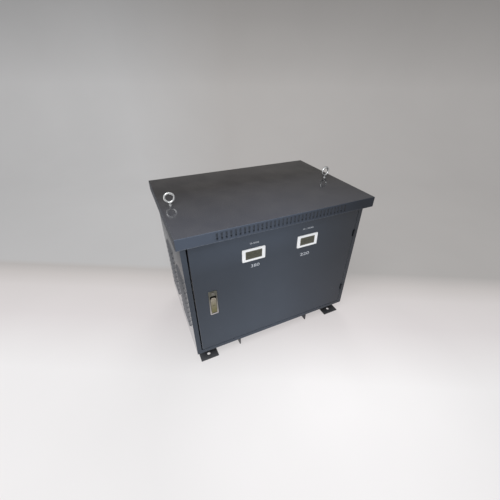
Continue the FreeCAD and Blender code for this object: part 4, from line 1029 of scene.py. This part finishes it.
def backdrop_finish():
    """Paper sweep: painted light, pale in front, greyer behind; part of its brightness kept even.
    """
    material, build, sockets = start_material("paper_backdrop", IOR=1.45,
                                              Specular_IOR_Level=0.1, Roughness=0.8)
    point = build.object_point()

    def along(direction, start=Vector()):
        """Distance along a direction on the floor from a starting place."""
        dot = build.node("ShaderNodeVectorMath", operation="DOT_PRODUCT")
        build.feed(dot.inputs[0], point)
        build.feed(dot.inputs[1], direction)
        return build.math("SUBTRACT", dot.outputs["Value"], direction.dot(start))

    beyond = along(BEYOND)
    # Painted light on the floor, palest nearest the camera.
    tone = FLOOR_TONES[0][1]
    for (low, _), (high, following) in zip(FLOOR_TONES, FLOOR_TONES[1:]):
        tone = build.blend(build.span(beyond, low, high), tone, following)
    # Painted light and shade on the wall: lighter to the left as seen from the camera, a little
    # darker nearest the object.
    aside = build.math("DIVIDE", along(ACROSS_VIEW, CAMERA_PLACE), along(AWAY, CAMERA_PLACE))
    wall = build.blend(build.span(aside, -0.42, -0.1), LEFT_WALL, RIGHT_WALL)
    wall = build.scale_colour(wall, build.span(beyond, 0.3, 2.6, 0.95, 1.0))
    tone = build.blend(build.span(beyond, WALL_STARTS, WALL_FULL), tone, wall)
    cloud = build.noise(point, 1.5, 3.0)
    light_pool = build.node("ShaderNodeVectorMath", operation="DISTANCE")
    build.feed(light_pool.inputs[0], point)
    build.feed(light_pool.inputs[1], PAINTED_LIGHT_POOL)
    # A random cloud in the tone, a painted patch of light before the object, and painted shade
    # high up.
    for factor in (build.span(cloud, 0.3, 0.7, 0.985, 1.015),
                   build.span(light_pool.outputs["Value"], 0.1, 0.7, 1.14, 1.0),
                   build.span(build.split(point)["Z"], 0.9, 2.3, 1.0, 0.5)):
        tone = build.scale_colour(tone, factor)
    build.feed(sockets["Base Color"], tone)
    glow = build.node("ShaderNodeEmission")
    build.feed(glow.inputs["Color"], tone)
    path = build.node("ShaderNodeLightPath").outputs
    seen = build.math("ADD", build.math("ADD", path["Is Camera Ray"], path["Is Glossy Ray"]),
                      path["Is Transmission Ray"], clamp=True)
    mix = build.node("ShaderNodeMixShader")
    build.feed(mix.inputs[0], build.times(seen, EVEN_SHARE))
    output = next(node for node in build.tree.nodes if node.type == "OUTPUT_MATERIAL")
    surface = next(node for node in build.tree.nodes if node.type == "BSDF_PRINCIPLED")
    build.feed(mix.inputs[1], surface.outputs[0])
    build.feed(mix.inputs[2], glow.outputs[0])
    build.feed(output.inputs["Surface"], mix.outputs[0])
    return material


SWEEP_NEAR, SWEEP_FAR, SWEEP_HEIGHT, SWEEP_HALF_WIDTH = -6.0, 3.0, 6.0, 8.0
SWEEP_ROUND, SWEEP_STEPS = 1.2, 16


def make_stage():
    """Floor that sweeps up far behind the object."""
    bend = SWEEP_FAR - SWEEP_ROUND
    rows = [(SWEEP_NEAR, 0.0), (-0.5, 0.0), (bend, 0.0)]
    for step in range(1, SWEEP_STEPS + 1):
        angle = math.pi / 2 * step / SWEEP_STEPS
        rows.append((bend + SWEEP_ROUND * math.sin(angle),
                     SWEEP_ROUND - SWEEP_ROUND * math.cos(angle)))
    rows.append((SWEEP_FAR, SWEEP_HEIGHT))
    shape = bmesh.new()
    lines = []
    for far, up in rows:
        middle = AWAY * far + Vector((0, 0, up))
        lines.append([shape.verts.new(middle + ACROSS_VIEW * side)
                      for side in (-SWEEP_HALF_WIDTH, SWEEP_HALF_WIDTH)])
    for low, high in zip(lines, lines[1:]):
        shape.faces.new((low[0], low[1], high[1], high[0]))
    mesh = to_mesh("studio_sweep", shape)
    mesh.materials.append(backdrop_finish())
    sweep = add_object("studio_sweep", mesh)


def lamp(name, place, target, size, power, mirrored=True):
    data = bpy.data.lights.new(name, "AREA")
    data.shape = "RECTANGLE"
    data.size, data.size_y = size
    data.energy = power
    made = add_object(name, data)
    made.location = place
    made.rotation_euler = (Vector(target) - Vector(place)).to_track_quat("-Z", "Y").to_euler()
    made.visible_glossy = mirrored


def set_world(colour, strength):
    world = bpy.data.worlds.new("studio")
    world.use_nodes = True
    background = world.node_tree.nodes["Background"]
    background.inputs["Color"].default_value = colour
    background.inputs["Strength"].default_value = strength
    bpy.context.scene.world = world


set_camera()
make_stage()
set_world((0.93, 0.96, 1.0, 1.0), 0.55)
lamp("key_lamp", (-1.9, -1.6, 2.9), (0.0, -0.1, 0.3), size=(2.2, 1.6), power=75)
lamp("top_lamp", (0.4, 0.2, 3.2), (0.0, 0.0, 0.3), size=(2.6, 2.6), power=45, mirrored=False)
lamp("back_lamp", (0.9, 1.9, 2.4), (0.0, 0.2, 0.3), size=(1.2, 1.2), power=22, mirrored=False)
bpy.context.scene.view_settings.view_transform = "Standard"
